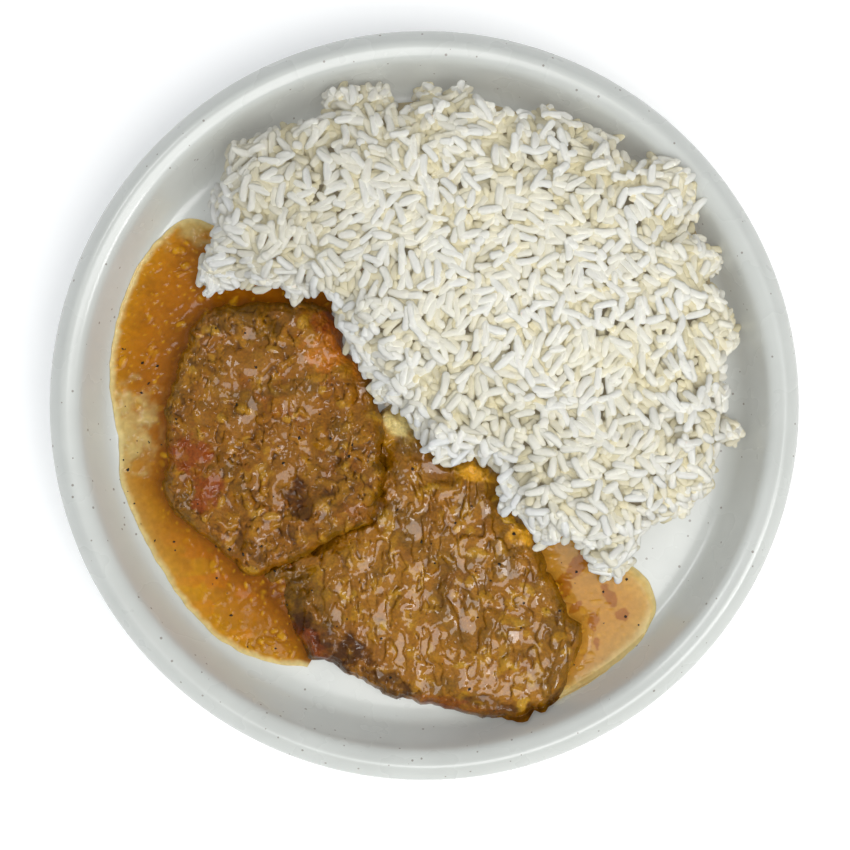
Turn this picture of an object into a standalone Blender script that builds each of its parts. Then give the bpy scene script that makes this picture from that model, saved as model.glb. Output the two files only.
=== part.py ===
"""Pork neck with rice, served on its plate.

A wide off-white plate carries a heap of boiled rice, two flat slices of braised
pork neck and two pools of gravy. The left slice lies with its right edge on the
right slice. The origin is the middle of the plate, on the surface it stands on:
+X is to the right, +Y towards the rice at the far side and +Z up. Sizes are in
millimetres, and are turned into metres when a mesh is made.
"""

import math

import bmesh
import bpy
import numpy as np
from mathutils import Vector
from mathutils.geometry import delaunay_2d_cdt

MM = 0.001
GAP = 0.35               # space kept between two pieces that touch
FOOD_GAP = 0.7           # sideways space kept between a grain and another food
HEAP_GAP = 1.0           # sideways space kept between the heap and the meat
POOL_GAP = 1.4           # sideways space kept between gravy and the food beside it
FACET_MARGIN = 0.6       # the plate's height is read this far outward, as its faces are flat

# Plate: a turned profile of radius and height
PLATE_SEGMENTS = 56
PLATE_RADIUS = 135.0
WELL_HEIGHT = 7.6
CREST_HEIGHT = 28.5
FOOT_INNER = 86.0
FOOT_OUTER = 92.0
UNDERSIDE = [
    (84.5, 2.6), (FOOT_INNER, 0.0), (FOOT_OUTER, 0.0), (94.0, 2.8),
    (112.0, 4.2), (121.5, 9.5), (128.5, 21.3), (133.8, 22.6), (PLATE_RADIUS, 24.0),
]
WELL = [
    (129.0, CREST_HEIGHT), (124.8, 27.3), (123.0, 25.0), (120.8, 17.5),
    (117.3, 9.8), (114.3, 8.2), (109.5, WELL_HEIGHT),
]

# Meat: two slices, seen from above, each a closed curve through these points
LEFT_SLICE = [
    (-95, -9), (-93, 4), (-88, 21), (-82, 33), (-67, 37), (-52, 37), (-41, 38), (-33, 32),
    (-29, 21), (-20, 13), (-17, 1), (-15, -12), (-15, -28), (-19, -43), (-32, -48),
    (-45, -56), (-58, -61), (-67, -60), (-79, -49), (-90, -40), (-95, -30), (-94, -20),
]
RIGHT_SLICE = [
    (-15, -2), (-9, 0), (-2, -10), (8, -20), (20, -19), (28, -26), (33, -38), (40, -44),
    (44, -56), (51, -70), (58, -83), (54, -96), (49, -107), (38, -113), (22, -114),
    (6, -111), (-8, -107), (-23, -100), (-39, -93), (-47, -85), (-51, -76), (-58, -67),
    (-54, -55), (-39, -42), (-29, -23), (-23, -9),
]
LEFT_THICKNESS = 11.0
RIGHT_THICKNESS = 11.5
COVERED_EDGE = ((-15.0, -2.0), (-59.0, -67.0))    # the right slice's edge under the left one
TAPER_WIDTH = 22.0       # the right slice thins towards that edge over this width
TAPER_SHARE = 0.35       # what is left of its thickness there
LIFT = 7.0               # how far the left slice rises to lie on the right one
LIFT_START = 14.0        # it begins to rise this far before the covered edge
LIFT_WIDTH = 30.0        # and has risen over this width
REST_REACH = 5.0         # the left slice's underside clears what lies this far round it
MEAT_UNDERCUT = [(2.0, 0.0), (0.5, 0.4)]          # (inset, share of the side's height)
MEAT_SHOULDER = [0.0, 1.3]                        # insets of the rings over the side
MEAT_LEAST = 4.0         # thickness where a slice leans on the plate's wall
MEAT_SPACING = 4.4
MEAT_RELIEF = 0.9
MEAT_SIDE_STEP = 4.2
CROWN_REACH = [0.0, 1.3, 3.5, 9.0, 35.0]          # distance in from a slice's edge
CROWN_SHARE = [0.5, 0.8, 0.92, 1.0, 1.06]         # share of its thickness there

# Gravy: the outer edge of each pool, and a line under the food that it runs up to
GRAVY_LEVEL = 9.7
GRAVY_LEFT = [
    (-81, 68), (-90, 68), (-99, 60), (-108, 46), (-112.5, 32), (-115.5, 15), (-115, 0),
    (-113, -14), (-111, -28), (-106, -43), (-97, -60), (-84, -78), (-69, -90), (-55, -95),
    (-44, -96),
]
GRAVY_LEFT_INNER = [(-72, 60), (-60, 45), (-60, 10), (-60, -20), (-58, -44), (-48, -58), (-35, -84)]
GRAVY_RIGHT = [(63, -53), (74, -58), (83, -65), (85, -75), (79, -86), (69, -94), (58, -101), (50, -105)]
GRAVY_RIGHT_INNER = [(42, -40), (40, -60), (42, -85), (40, -104)]
LEAST_POOL_WIDTH = 2.5
LEAST_POOL_DEPTH = 0.35
POOL_STEP = 4.8
GRAVY_ROWS = [(0.0, 0.35), (0.08, 1.2), (0.3, 1.75), (1.0, 1.75)]    # (share across, height)

# Rice: the heap's outline with its grains, its height, and one boiled grain
RICE_OUTLINE = [
    (-80, 46), (-77, 69), (-66, 90), (-48, 99), (-34, 111), (-11, 114), (17, 115), (42, 108),
    (60, 99), (82, 87), (97, 73), (106, 53), (110, 28), (108, 2), (109, -12), (103, -31),
    (84, -43), (69, -60), (55, -51), (42, -44), (34, -36), (28, -25), (19, -17), (6, -17),
    (-4, -7), (-11, 3), (-18, 8), (-21, 17), (-27, 25), (-32, 35), (-45, 42), (-63, 43),
]
GRAIN_OVERHANG = 3.6     # how far grains stand out past the solid heap
HEAP_EDGE = 7.0
HEAP_PEAK = 33.0
HEAP_REACH = 21.0        # how quickly the heap rises from its edge
HEAP_SPACING = 4.0
CLUMP_HEIGHT = 1.9
BUMP_HEIGHT = 2.0
BUMP_COUNT = 620
GRAIN_LENGTH = 8.2
GRAIN_WIDTH = 2.75
GRAIN_SIDES = 5
GRAIN_GIRTH = [(-0.36, 0.82), (0.0, 1.0), (0.36, 0.82)]    # (share along, share of its width)
EDGE_GRAIN_STEP = 9.4
EDGE_GRAIN_LOWEST = 2.6  # height of an edge grain's middle over the well
TOP_GRAIN_STEP = 20.0
RICE_SEED = 11


def closed_curve(points, count):
    """Return evenly spaced points of a smooth closed curve through the given ones."""
    knots = np.asarray(points, float)
    ahead = np.roll(knots, -1, 0)
    slope = 0.5 * (ahead - np.roll(knots, 1, 0))
    share = np.linspace(0, 1, 20, endpoint=False)[:, None, None]
    square, cube = share ** 2, share ** 3
    curve = ((2 * cube - 3 * square + 1) * knots
             + (cube - 2 * square + share) * slope
             + (3 * square - 2 * cube) * ahead
             + (cube - square) * np.roll(slope, -1, 0))
    curve = curve.transpose(1, 0, 2).reshape(-1, 2)
    return even_points(np.vstack([curve, curve[:1]]), count + 1)[:-1]


def open_curve(points, count):
    """Return evenly spaced points of a smooth open curve through the given ones."""
    knots = np.asarray(points, float)
    place = np.arange(len(knots))
    share = np.linspace(0, len(knots) - 1, 40 * len(knots))
    start = np.clip(share.astype(int), 0, len(knots) - 2)
    part = (share - start)[:, None]
    slope = np.gradient(knots, place, axis=0)
    square, cube = part ** 2, part ** 3
    curve = ((2 * cube - 3 * square + 1) * knots[start]
             + (cube - 2 * square + part) * slope[start]
             + (3 * square - 2 * cube) * knots[start + 1]
             + (cube - square) * slope[start + 1])
    return even_points(curve, count)


def even_points(curve, count):
    """Resample an open line of points at equal steps along its length."""
    steps = np.linalg.norm(np.diff(curve, axis=0), axis=1)
    along = np.concatenate([[0.0], np.cumsum(steps)])
    wanted = np.linspace(0, along[-1], count)
    return np.column_stack([np.interp(wanted, along, curve[:, axis]) for axis in (0, 1)])


def perimeter(loop):
    return float(np.linalg.norm(np.roll(loop, -1, 0) - loop, axis=1).sum())


def inset(loop, amount):
    """Move a counter-clockwise loop inwards along its normals."""
    along = np.roll(loop, -1, 0) - np.roll(loop, 1, 0)
    along /= np.linalg.norm(along, axis=1)[:, None]
    inward = np.column_stack([-along[:, 1], along[:, 0]])
    return loop + amount * inward


def counter_clockwise(loop):
    ahead = np.roll(loop, -1, 0)
    area = (loop[:, 0] * ahead[:, 1] - ahead[:, 0] * loop[:, 1]).sum()
    return loop if area > 0 else loop[::-1]


def signed_distance(points, loop):
    """Distance from each point to a loop, positive inside it and negative outside."""
    points = np.atleast_2d(points)
    start, end = loop, np.roll(loop, -1, 0)
    edge = end - start
    offset = points[:, None, :] - start
    share = np.clip((offset * edge).sum(2) / (edge ** 2).sum(1), 0, 1)
    near = np.linalg.norm(offset - share[..., None] * edge, axis=2).min(1)
    crosses = (start[:, 1] > points[:, None, 1]) != (end[:, 1] > points[:, None, 1])
    rise = np.where(edge[:, 1] == 0, 1.0, edge[:, 1])
    hit = start[:, 0] + (points[:, None, 1] - start[:, 1]) * edge[:, 0] / rise
    inside = ((points[:, None, 0] < hit) & crosses).sum(1) % 2 == 1
    return np.where(inside, near, -near)


def hexagonal_points(loop, spacing, margin):
    """Points of a hexagonal lattice that lie inside a loop, clear of its edge."""
    low, high = loop.min(0), loop.max(0)
    rows = np.arange(low[1], high[1], spacing * math.sqrt(0.75))
    columns = np.arange(low[0], high[0], spacing)
    grid_x, grid_y = np.meshgrid(columns, rows)
    grid_x = grid_x + 0.5 * spacing * (np.arange(len(rows)) % 2)[:, None]
    points = np.column_stack([grid_x.ravel(), grid_y.ravel()])
    return points[signed_distance(points, loop) > margin]


def smooth_step(value):
    value = np.clip(value, 0, 1)
    return value * value * (3 - 2 * value)


def waves(points, seed, shortest, longest, count=14):
    """Uneven relief between about -1 and 1: a sum of plane waves of random direction."""
    draw = np.random.default_rng(seed)
    heading = draw.uniform(0, math.tau, count)
    length = draw.uniform(shortest, longest, count)
    phase = draw.uniform(0, math.tau, count)
    along = points[:, :1] * np.cos(heading) + points[:, 1:2] * np.sin(heading)
    return np.cos(along * math.tau / length + phase).sum(1) / math.sqrt(2 * count)


def plate_height(points, clearance):
    """Height of the plate's upper face under each point, or within a clearance outward of it."""
    radius = np.linalg.norm(points, axis=1) + clearance
    across, height = np.array(WELL[::-1]).T
    return np.interp(radius, across, height)


def material(name, colour, roughness, metallic=0.0):
    made = bpy.data.materials.new(name)
    made.use_nodes = True
    shader = made.node_tree.nodes["Principled BSDF"]
    shader.inputs["Base Color"].default_value = (*colour, 1.0)
    shader.inputs["Roughness"].default_value = roughness
    shader.inputs["Metallic"].default_value = metallic
    return made


def add_object(name, points, faces, finish):
    """Make an object from points in millimetres."""
    mesh = bpy.data.meshes.new(name)
    mesh.from_pydata((np.asarray(points) * MM).tolist(), [], faces)
    mesh.materials.append(finish)
    made = bpy.data.objects.new(name, mesh)
    bpy.context.scene.collection.objects.link(made)
    return made


def keep_clear(loop, foods):
    """Move the points of a loop that come too near to a food straight away from it."""
    step = 0.1
    for food in foods:
        slope = [signed_distance(loop + move, food) - signed_distance(loop - move, food)
                 for move in ((step, 0.0), (0.0, step))]
        inward = np.column_stack(slope) / (2 * step)
        excess = np.maximum(signed_distance(loop, food) + HEAP_GAP, 0)
        loop = loop - excess[:, None] * inward
    return loop


def ring_band(lower, upper, count):
    """Triangles between two rings of equal count, facing out when both run anticlockwise."""
    faces = []
    for index in range(count):
        ahead = (index + 1) % count
        faces.append((lower + index, lower + ahead, upper + ahead))
        faces.append((lower + index, upper + ahead, upper + index))
    return faces


def fill_ring(ring, inner):
    """Triangulate a ring with free points inside it, all counter-clockwise."""
    flat = [Vector(point) for point in np.vstack([ring, inner])]
    count = len(ring)
    edges = [(index, (index + 1) % count) for index in range(count)]
    corners, _, faces, origins, _, _ = delaunay_2d_cdt(flat, edges, [], 1, 1e-6)
    source = [origin[0] for origin in origins]
    filled = []
    for face in faces:
        one, two, three = (corners[index] for index in face)
        turn = (two - one).cross(three - one)
        order = face if turn > 0 else face[::-1]
        filled.append(tuple(source[index] for index in order))
    return filled


def slab(name, loop, under, over, spacing, low, top, finish):
    """Make a closed body between an underside and a top, both functions of the place.

    Rings of the loop run up the side: those in under are (inset, share of the height
    from the underside to the loop), and those in over are insets whose height the top
    gives.
    """
    count = len(loop)
    rings = []
    for amount, share in under:
        ring = inset(loop, amount)
        height = (1 - share) * low(ring) + share * top(loop)
        rings.append(np.column_stack([ring, height]))
    for amount in over:
        ring = inset(loop, amount)
        rings.append(np.column_stack([ring, top(ring)]))
    faces = []
    for level in range(len(rings) - 1):
        faces += ring_band(level * count, (level + 1) * count, count)
    points = np.vstack(rings)

    lattice = hexagonal_points(loop, spacing, over[-1] + 0.55 * spacing)
    last = (len(rings) - 1) * count
    first_inner = len(points)
    for face in fill_ring(rings[-1][:, :2], lattice):
        faces.append(tuple(last + i if i < count else first_inner + i - count for i in face))
    points = np.vstack([points, np.column_stack([lattice, top(lattice)])])

    sparse = hexagonal_points(loop, 2.2 * spacing, under[0][0] + 1.2 * spacing)
    first_inner = len(points)
    for face in fill_ring(rings[0][:, :2], sparse):
        faces.append(tuple(i if i < count else first_inner + i - count for i in face[::-1]))
    points = np.vstack([points, np.column_stack([sparse, low(sparse)])])
    return add_object(name, points, faces, finish)


def make_plate(finish):
    """Turn the plate's profile round the vertical axis."""
    profile = UNDERSIDE + WELL
    turn = np.arange(PLATE_SEGMENTS) * math.tau / PLATE_SEGMENTS
    rings = []
    for radius, height in profile:
        level = np.full(PLATE_SEGMENTS, height)
        rings.append(np.column_stack([radius * np.cos(turn), radius * np.sin(turn), level]))
    points = np.vstack(rings + [[[0, 0, UNDERSIDE[0][1]]], [[0, 0, WELL_HEIGHT]]])
    bottom = len(points) - 2
    faces = []
    for level in range(len(profile) - 1):
        faces += ring_band(level * PLATE_SEGMENTS, (level + 1) * PLATE_SEGMENTS, PLATE_SEGMENTS)
    last = (len(profile) - 1) * PLATE_SEGMENTS
    for index in range(PLATE_SEGMENTS):
        ahead = (index + 1) % PLATE_SEGMENTS
        faces.append((bottom, ahead, index))
        faces.append((bottom + 1, last + index, last + ahead))
    plate = add_object("plate", points, faces, finish)
    plate.data.shade_smooth()
    plate.data.set_sharp_from_angle(angle=math.radians(35))
    return plate


def slice_loop(points):
    rough = closed_curve(points, 200)
    return counter_clockwise(closed_curve(points, round(perimeter(rough) / MEAT_SIDE_STEP)))


def past_covered_edge(points):
    """Distance into the right slice from the edge that the left slice covers."""
    start, end = np.array(COVERED_EDGE)
    along = (end - start) / np.linalg.norm(end - start)
    across = np.array([-along[1], along[0]])
    return (points - start) @ across


def crown(distance):
    """Share of a slice's thickness reached at a distance in from its edge."""
    return np.interp(distance, CROWN_REACH, CROWN_SHARE)


def meat_relief(points, distance, seed):
    lumps = waves(points, seed, 8.0, 20.0)
    return MEAT_RELIEF * lumps * np.clip(distance / 4.0, 0, 1)


def on_plate(points):
    """Underside of a food that lies on the plate."""
    return plate_height(points, FACET_MARGIN) + GAP


def right_slice_top(points, loop):
    distance = np.maximum(signed_distance(points, loop), 0)
    share = TAPER_SHARE + (1 - TAPER_SHARE) * smooth_step(past_covered_edge(points) / TAPER_WIDTH)
    body = RIGHT_THICKNESS * share * crown(distance)
    body += meat_relief(points, distance, 3)
    return np.maximum(WELL_HEIGHT + GAP + body, on_plate(points) + MEAT_LEAST * crown(distance))


def left_slice_low(points, right_loop):
    """Underside of the left slice: on the plate, or on the right slice where they overlap."""
    floor = on_plate(points)
    around = np.arange(0, math.tau, math.tau / 8)
    moves = REST_REACH * np.column_stack([np.cos(around), np.sin(around)])
    for move in [np.zeros(2), *moves]:
        near = points + move
        over = signed_distance(near, right_loop) > -FOOD_GAP
        height = right_slice_top(near, right_loop) + GAP
        floor = np.where(over, np.maximum(floor, height), floor)
    return floor


def left_slice_top(points, loop):
    distance = np.maximum(signed_distance(points, loop), 0)
    lift = LIFT * smooth_step((past_covered_edge(points) + LIFT_START) / LIFT_WIDTH)
    body = LEFT_THICKNESS * crown(distance)
    return WELL_HEIGHT + GAP + lift + body + meat_relief(points, distance, 5)


def make_right_slice(loop, finish):
    return slab("pork_slice_right", loop, MEAT_UNDERCUT, MEAT_SHOULDER, MEAT_SPACING,
                on_plate, lambda p: right_slice_top(p, loop), finish)


def make_left_slice(loop, right_loop, finish):
    return slab("pork_slice_left", loop, MEAT_UNDERCUT, MEAT_SHOULDER, MEAT_SPACING,
                lambda p: left_slice_low(p, right_loop),
                lambda p: left_slice_top(p, loop), finish)


def run_up_to(outer, inner, food_loops):
    """Move from each outer point towards its inner one until a food is POOL_GAP away."""
    shares = np.linspace(0, 1, 160)
    stops = []
    for start, end in zip(outer, inner):
        line = start + shares[:, None] * (end - start)
        nearest = np.max([signed_distance(line, loop) for loop in food_loops], axis=0)
        blocked = np.nonzero(nearest > -POOL_GAP)[0]
        stops.append(line[blocked[0]] if len(blocked) else line[-1])
    return np.array(stops)


def make_gravy(name, outer_points, inner_points, food_loops, finish):
    """Make one pool: a shallow sheet between its outer edge and the food it meets."""
    rough = open_curve(outer_points, 100)
    count = round(np.linalg.norm(np.diff(rough, axis=0), axis=1).sum() / POOL_STEP)
    outer = open_curve(outer_points, count)
    inner = run_up_to(outer, open_curve(inner_points, count), food_loops)
    wide = np.linalg.norm(inner - outer, axis=1) > LEAST_POOL_WIDTH
    outer, inner = outer[wide], inner[wide]
    count = len(outer)
    rows = len(GRAVY_ROWS)
    top, low = [], []
    for share, height in GRAVY_ROWS:
        line = outer + share * (inner - outer)
        floor = on_plate(line)
        level = np.minimum(floor + height, np.maximum(GRAVY_LEVEL, floor + LEAST_POOL_DEPTH))
        top.append(np.column_stack([line, level]))
        low.append(np.column_stack([line, floor]))
    points = np.vstack(top + low)
    shift = rows * count
    faces = []

    def quad(one, two, three, four):
        faces.append((one, two, three))
        faces.append((one, three, four))

    for row in range(rows - 1):
        for index in range(count - 1):
            near = row * count + index
            quad(near, near + 1, near + count + 1, near + count)
            quad(shift + near, shift + near + count, shift + near + count + 1, shift + near + 1)
        for index in (0, count - 1):
            near = row * count + index
            if index == 0:
                quad(near, near + count, shift + near + count, shift + near)
            else:
                quad(near, shift + near, shift + near + count, near + count)
    for index in range(count - 1):
        far = (rows - 1) * count + index
        quad(index, shift + index, shift + index + 1, index + 1)
        quad(far, far + 1, shift + far + 1, shift + far)
    made = add_object(name, points, faces, finish)
    face_outwards(made)
    return made


def face_outwards(made):
    shape = bmesh.new()
    shape.from_mesh(made.data)
    bmesh.ops.recalc_face_normals(shape, faces=shape.faces)
    shape.to_mesh(made.data)
    shape.free()


def heap_top(points, loop, bumps):
    """Top of the rice: a steep edge that levels off, clumps, and bumps of a grain's size."""
    distance = np.maximum(signed_distance(points, loop), 0)
    rise = HEAP_EDGE + (HEAP_PEAK - HEAP_EDGE) * (1 - np.exp(-distance / HEAP_REACH))
    clumps = CLUMP_HEIGHT * waves(points, RICE_SEED, 16.0, 42.0) * np.clip(distance / 8.0, 0, 1)
    raised = bump_field(points, bumps) * np.clip(distance / 3.0, 0, 1)
    return WELL_HEIGHT + rise + clumps + BUMP_HEIGHT * raised


def scatter_bumps(loop):
    """Places and headings of the grain-sized bumps, drawn evenly over the heap."""
    draw = np.random.default_rng(RICE_SEED + 1)
    low, high = loop.min(0), loop.max(0)
    places = draw.uniform(low, high, (3 * BUMP_COUNT, 2))
    places = places[signed_distance(places, loop) > 2.0][:BUMP_COUNT]
    return places, draw.uniform(0, math.pi, len(places))


def bump_field(points, bumps):
    """Height share from 0 to 1 at each point: the tallest of the lying grains over it."""
    places, heading = bumps
    offset = points[:, None, :] - places
    along = offset[..., 0] * np.cos(heading) + offset[..., 1] * np.sin(heading)
    aside = offset[..., 1] * np.cos(heading) - offset[..., 0] * np.sin(heading)
    reach = (along / (0.6 * GRAIN_LENGTH)) ** 2 + (aside / GRAIN_WIDTH) ** 2
    return np.sqrt(np.clip(1 - reach, 0, 1)).max(1)


def grain_points(centre, heading):
    """Rings of one grain: a spindle with a tip at each end, along the heading."""
    heading = heading / np.linalg.norm(heading)
    side = np.cross(heading, [0.0, 0.0, 1.0])
    side /= np.linalg.norm(side)
    up = np.cross(side, heading)
    turn = np.arange(GRAIN_SIDES) * math.tau / GRAIN_SIDES + 0.3
    points = [centre - 0.5 * GRAIN_LENGTH * heading]
    for share, girth in GRAIN_GIRTH:
        middle = centre + share * GRAIN_LENGTH * heading
        radius = 0.5 * GRAIN_WIDTH * girth
        ring = np.cos(turn)[:, None] * side + np.sin(turn)[:, None] * up
        points.extend(middle + radius * ring)
    points.append(centre + 0.5 * GRAIN_LENGTH * heading)
    return np.array(points)


def grain_faces():
    faces = ring_band(1, 1 + GRAIN_SIDES, GRAIN_SIDES)
    faces += ring_band(1 + GRAIN_SIDES, 1 + 2 * GRAIN_SIDES, GRAIN_SIDES)
    last = 1 + 2 * GRAIN_SIDES
    tip = last + GRAIN_SIDES
    for index in range(GRAIN_SIDES):
        ahead = (index + 1) % GRAIN_SIDES
        faces.append((0, 1 + ahead, 1 + index))
        faces.append((last + index, last + ahead, tip))
    return faces


def grain_fits(points, food_loops, gravy_loops):
    """True where a grain clears the plate, the meat and the gravy."""
    flat = points[:, :2]
    floor = on_plate(flat) + GAP
    for loop in gravy_loops:
        over = signed_distance(flat, loop) > -FOOD_GAP
        floor = np.where(over, np.maximum(floor, GRAVY_LEVEL + 2 * GAP), floor)
    if (points[:, 2] < floor).any():
        return False
    return all((signed_distance(flat, loop) < -FOOD_GAP).all() for loop in food_loops)


def edge_grains(loop, draw):
    """Grains that lean out of the heap's side, drawn in towards it until they fit."""
    count = round(perimeter(loop) / EDGE_GRAIN_STEP)
    along = closed_curve(loop, count)
    outward = along - inset(along, 1.0)
    chosen = []
    for place, out in zip(along, outward):
        turn = draw.uniform(-1.2, 1.2)
        heading = np.array([out[0] * math.cos(turn) - out[1] * math.sin(turn),
                            out[0] * math.sin(turn) + out[1] * math.cos(turn),
                            draw.uniform(-0.3, 0.3)])
        height = draw.uniform(EDGE_GRAIN_LOWEST, HEAP_EDGE) + WELL_HEIGHT + GAP
        reach = draw.uniform(0.0, 1.6)
        chosen.append([(np.array([*(place + out * (reach - back)), height]), heading)
                       for back in (0.0, 1.2, 2.4)])
    return chosen


def top_grains(loop, top, draw):
    """Grains that lie half sunk in the heap's top, spread by an uneven lattice."""
    places = hexagonal_points(loop, TOP_GRAIN_STEP, 5.0)
    chosen = []
    for place in places:
        spot = place + draw.uniform(-0.3, 0.3, 2) * TOP_GRAIN_STEP
        turn = draw.uniform(0, math.tau)
        height = top(spot[None, :])[0] + draw.uniform(0.2, 0.8)
        heading = np.array([math.cos(turn), math.sin(turn), draw.uniform(-0.25, 0.25)])
        chosen.append([(np.array([*spot, height]), heading)])
    return chosen


def keep_largest_shell(made):
    """Drop the scraps and shut hollows that a union can leave."""
    shape = bmesh.new()
    shape.from_mesh(made.data)
    unseen = set(shape.verts)
    shells = []
    while unseen:
        stack = [unseen.pop()]
        shell = list(stack)
        while stack:
            for edge in stack.pop().link_edges:
                for vert in edge.verts:
                    if vert in unseen:
                        unseen.remove(vert)
                        stack.append(vert)
                        shell.append(vert)
        shells.append(shell)
    shells.sort(key=len)
    for shell in shells[:-1]:
        bmesh.ops.delete(shape, geom=shell, context="VERTS")
    bmesh.ops.triangulate(shape, faces=shape.faces)
    shape.to_mesh(made.data)
    shape.free()


def make_rice(loop, food_loops, gravy_loops, finish):
    """Make the heap and fuse the grains that stand out of it into one body."""
    bumps = scatter_bumps(loop)

    def top(points):
        return heap_top(points, loop, bumps)

    rice = slab("rice", loop, [(1.2, 0.0), (0.2, 0.45)], [0.0, 1.4], HEAP_SPACING,
                on_plate, top, finish)
    draw = np.random.default_rng(RICE_SEED + 2)
    loose = bpy.data.collections.new("loose_grains")
    bpy.context.scene.collection.children.link(loose)
    for tries in edge_grains(loop, draw) + top_grains(loop, top, draw):
        for centre, heading in tries:
            points = grain_points(centre, heading)
            if grain_fits(points, food_loops, gravy_loops):
                grain = add_object("grain", points, grain_faces(), finish)
                bpy.context.scene.collection.objects.unlink(grain)
                loose.objects.link(grain)
                break

    union = rice.modifiers.new("fuse_grains", "BOOLEAN")
    union.operation = "UNION"
    union.operand_type = "COLLECTION"
    union.collection = loose
    union.solver = "EXACT"
    bpy.context.view_layer.update()
    evaluated = rice.evaluated_get(bpy.context.evaluated_depsgraph_get())
    fused = bpy.data.meshes.new_from_object(evaluated)
    rice.modifiers.clear()
    rice.data = fused
    for grain in list(loose.objects):
        bpy.data.objects.remove(grain)
    bpy.data.collections.remove(loose)
    keep_largest_shell(rice)
    return rice


def gravy_outline(outer_points, inner_points):
    return counter_clockwise(np.vstack([open_curve(outer_points, 40),
                                        open_curve(inner_points, 40)[::-1]]))


def main():
    for old in list(bpy.data.objects):
        bpy.data.objects.remove(old)

    glaze = material("plate_glaze", (0.76, 0.75, 0.70), 0.25)
    boiled = material("boiled_rice", (0.85, 0.84, 0.78), 0.45)
    meat = material("braised_pork", (0.33, 0.17, 0.05), 0.35)
    sauce = material("gravy", (0.52, 0.24, 0.05), 0.15)

    left_loop = slice_loop(LEFT_SLICE)
    right_loop = slice_loop(RIGHT_SLICE)
    rice_edge = counter_clockwise(closed_curve(RICE_OUTLINE, 132))
    rice_loop = keep_clear(inset(rice_edge, GRAIN_OVERHANG), [left_loop, right_loop])

    make_plate(glaze)
    make_right_slice(right_loop, meat)
    make_left_slice(left_loop, right_loop, meat)
    foods = [left_loop, right_loop, rice_loop]
    make_gravy("gravy_left", GRAVY_LEFT, GRAVY_LEFT_INNER, foods, sauce)
    make_gravy("gravy_right", GRAVY_RIGHT, GRAVY_RIGHT_INNER, foods, sauce)
    pools = [gravy_outline(GRAVY_LEFT, GRAVY_LEFT_INNER),
             gravy_outline(GRAVY_RIGHT, GRAVY_RIGHT_INNER)]
    make_rice(rice_loop, [left_loop, right_loop], pools, boiled)


main()
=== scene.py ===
"""Looks of the plated meal: glazed plate, boiled rice, braised pork neck and its gravy.

Sizes are in millimetres and are turned into metres when a mesh is made. Every new
piece is a surface worked out with numpy over a grid of two parameters. Relief and
colour of meat, gravy and heap are worked out on a flat raster of points first, and
grids and grains then read them there. Places run x to the right and y up the picture.
"""

import math

import bpy
import numpy as np
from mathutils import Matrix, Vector


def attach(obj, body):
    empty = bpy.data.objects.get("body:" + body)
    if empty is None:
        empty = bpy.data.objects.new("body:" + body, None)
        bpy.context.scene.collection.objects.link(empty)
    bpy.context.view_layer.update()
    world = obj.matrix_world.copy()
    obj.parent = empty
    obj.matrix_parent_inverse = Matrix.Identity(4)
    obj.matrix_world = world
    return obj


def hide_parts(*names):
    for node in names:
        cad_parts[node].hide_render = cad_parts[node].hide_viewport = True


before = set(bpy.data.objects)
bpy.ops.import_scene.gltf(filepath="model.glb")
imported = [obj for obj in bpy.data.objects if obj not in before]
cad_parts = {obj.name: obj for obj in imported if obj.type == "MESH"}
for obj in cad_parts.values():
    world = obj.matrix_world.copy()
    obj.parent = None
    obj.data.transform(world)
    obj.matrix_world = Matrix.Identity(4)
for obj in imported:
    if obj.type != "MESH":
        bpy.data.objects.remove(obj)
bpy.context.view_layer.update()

MM = 0.001
FULL_TURN = 2 * math.pi
LATTICE = 128

# Plate, from its middle out over the wall and rim and back under to the foot
WELL_HEIGHT = 7.6
WELL_PROFILE = [
    (0.0, WELL_HEIGHT), (60.0, WELL_HEIGHT), (100.0, WELL_HEIGHT), (109.5, 7.65), (113.0, 7.95),
    (115.6, 8.8), (117.6, 10.6), (119.2, 13.6), (120.9, 18.2), (122.6, 23.4), (123.8, 26.0),
    (125.4, 27.3),
]
RIM_PROFILE = [
    (127.6, 28.1), (129.2, 28.5), (130.6, 28.1), (133.2, 26.0), (134.6, 24.6), (135.0, 23.8),
    (134.4, 22.9), (131.8, 22.0), (128.7, 21.0), (126.0, 16.5), (121.7, 9.6), (117.0, 6.2),
    (111.5, 4.4), (98.0, 3.2), (94.2, 2.7), (92.4, 1.0), (91.6, 0.05), (86.6, 0.05),
    (85.4, 1.4), (84.2, 2.5), (60.0, 2.6), (0.0, 2.6),
]
PLATE_AROUND = 288

# Meat: the same outlines and heights as the solids
LEFT_SLICE = [
    (-95, -9), (-93, 4), (-88, 21), (-82, 33), (-67, 37), (-52, 37), (-41, 38), (-33, 32),
    (-29, 21), (-20, 13), (-17, 1), (-15, -12), (-15, -28), (-19, -43), (-32, -48),
    (-45, -56), (-58, -61), (-67, -60), (-79, -49), (-90, -40), (-95, -30), (-94, -20),
]
RIGHT_SLICE = [
    (-15, -2), (-9, 0), (-2, -10), (8, -20), (20, -19), (28, -26), (33, -38), (40, -44),
    (44, -56), (51, -70), (58, -83), (54, -96), (49, -107), (38, -113), (22, -114),
    (6, -111), (-8, -107), (-23, -100), (-39, -93), (-47, -85), (-51, -76), (-58, -67),
    (-54, -55), (-39, -42), (-29, -23), (-23, -9),
]
SLICE_CENTRES = {"left": (-55.0, -12.0), "right": (0.0, -64.0)}
LEFT_THICKNESS = 11.0
RIGHT_THICKNESS = 11.5
FOOD_GAP = 0.35
COVERED_EDGE = ((-15.0, -2.0), (-59.0, -67.0))
TAPER_WIDTH = 22.0
TAPER_SHARE = 0.35
LIFT = 7.0
LIFT_RANGE = (-14.0, 16.0)
MEAT_LEAST = 4.0
MEAT_RELIEF = 0.9
SAUCE_BRIDGE = 2.8
SLICE_GRID = 310
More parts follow.
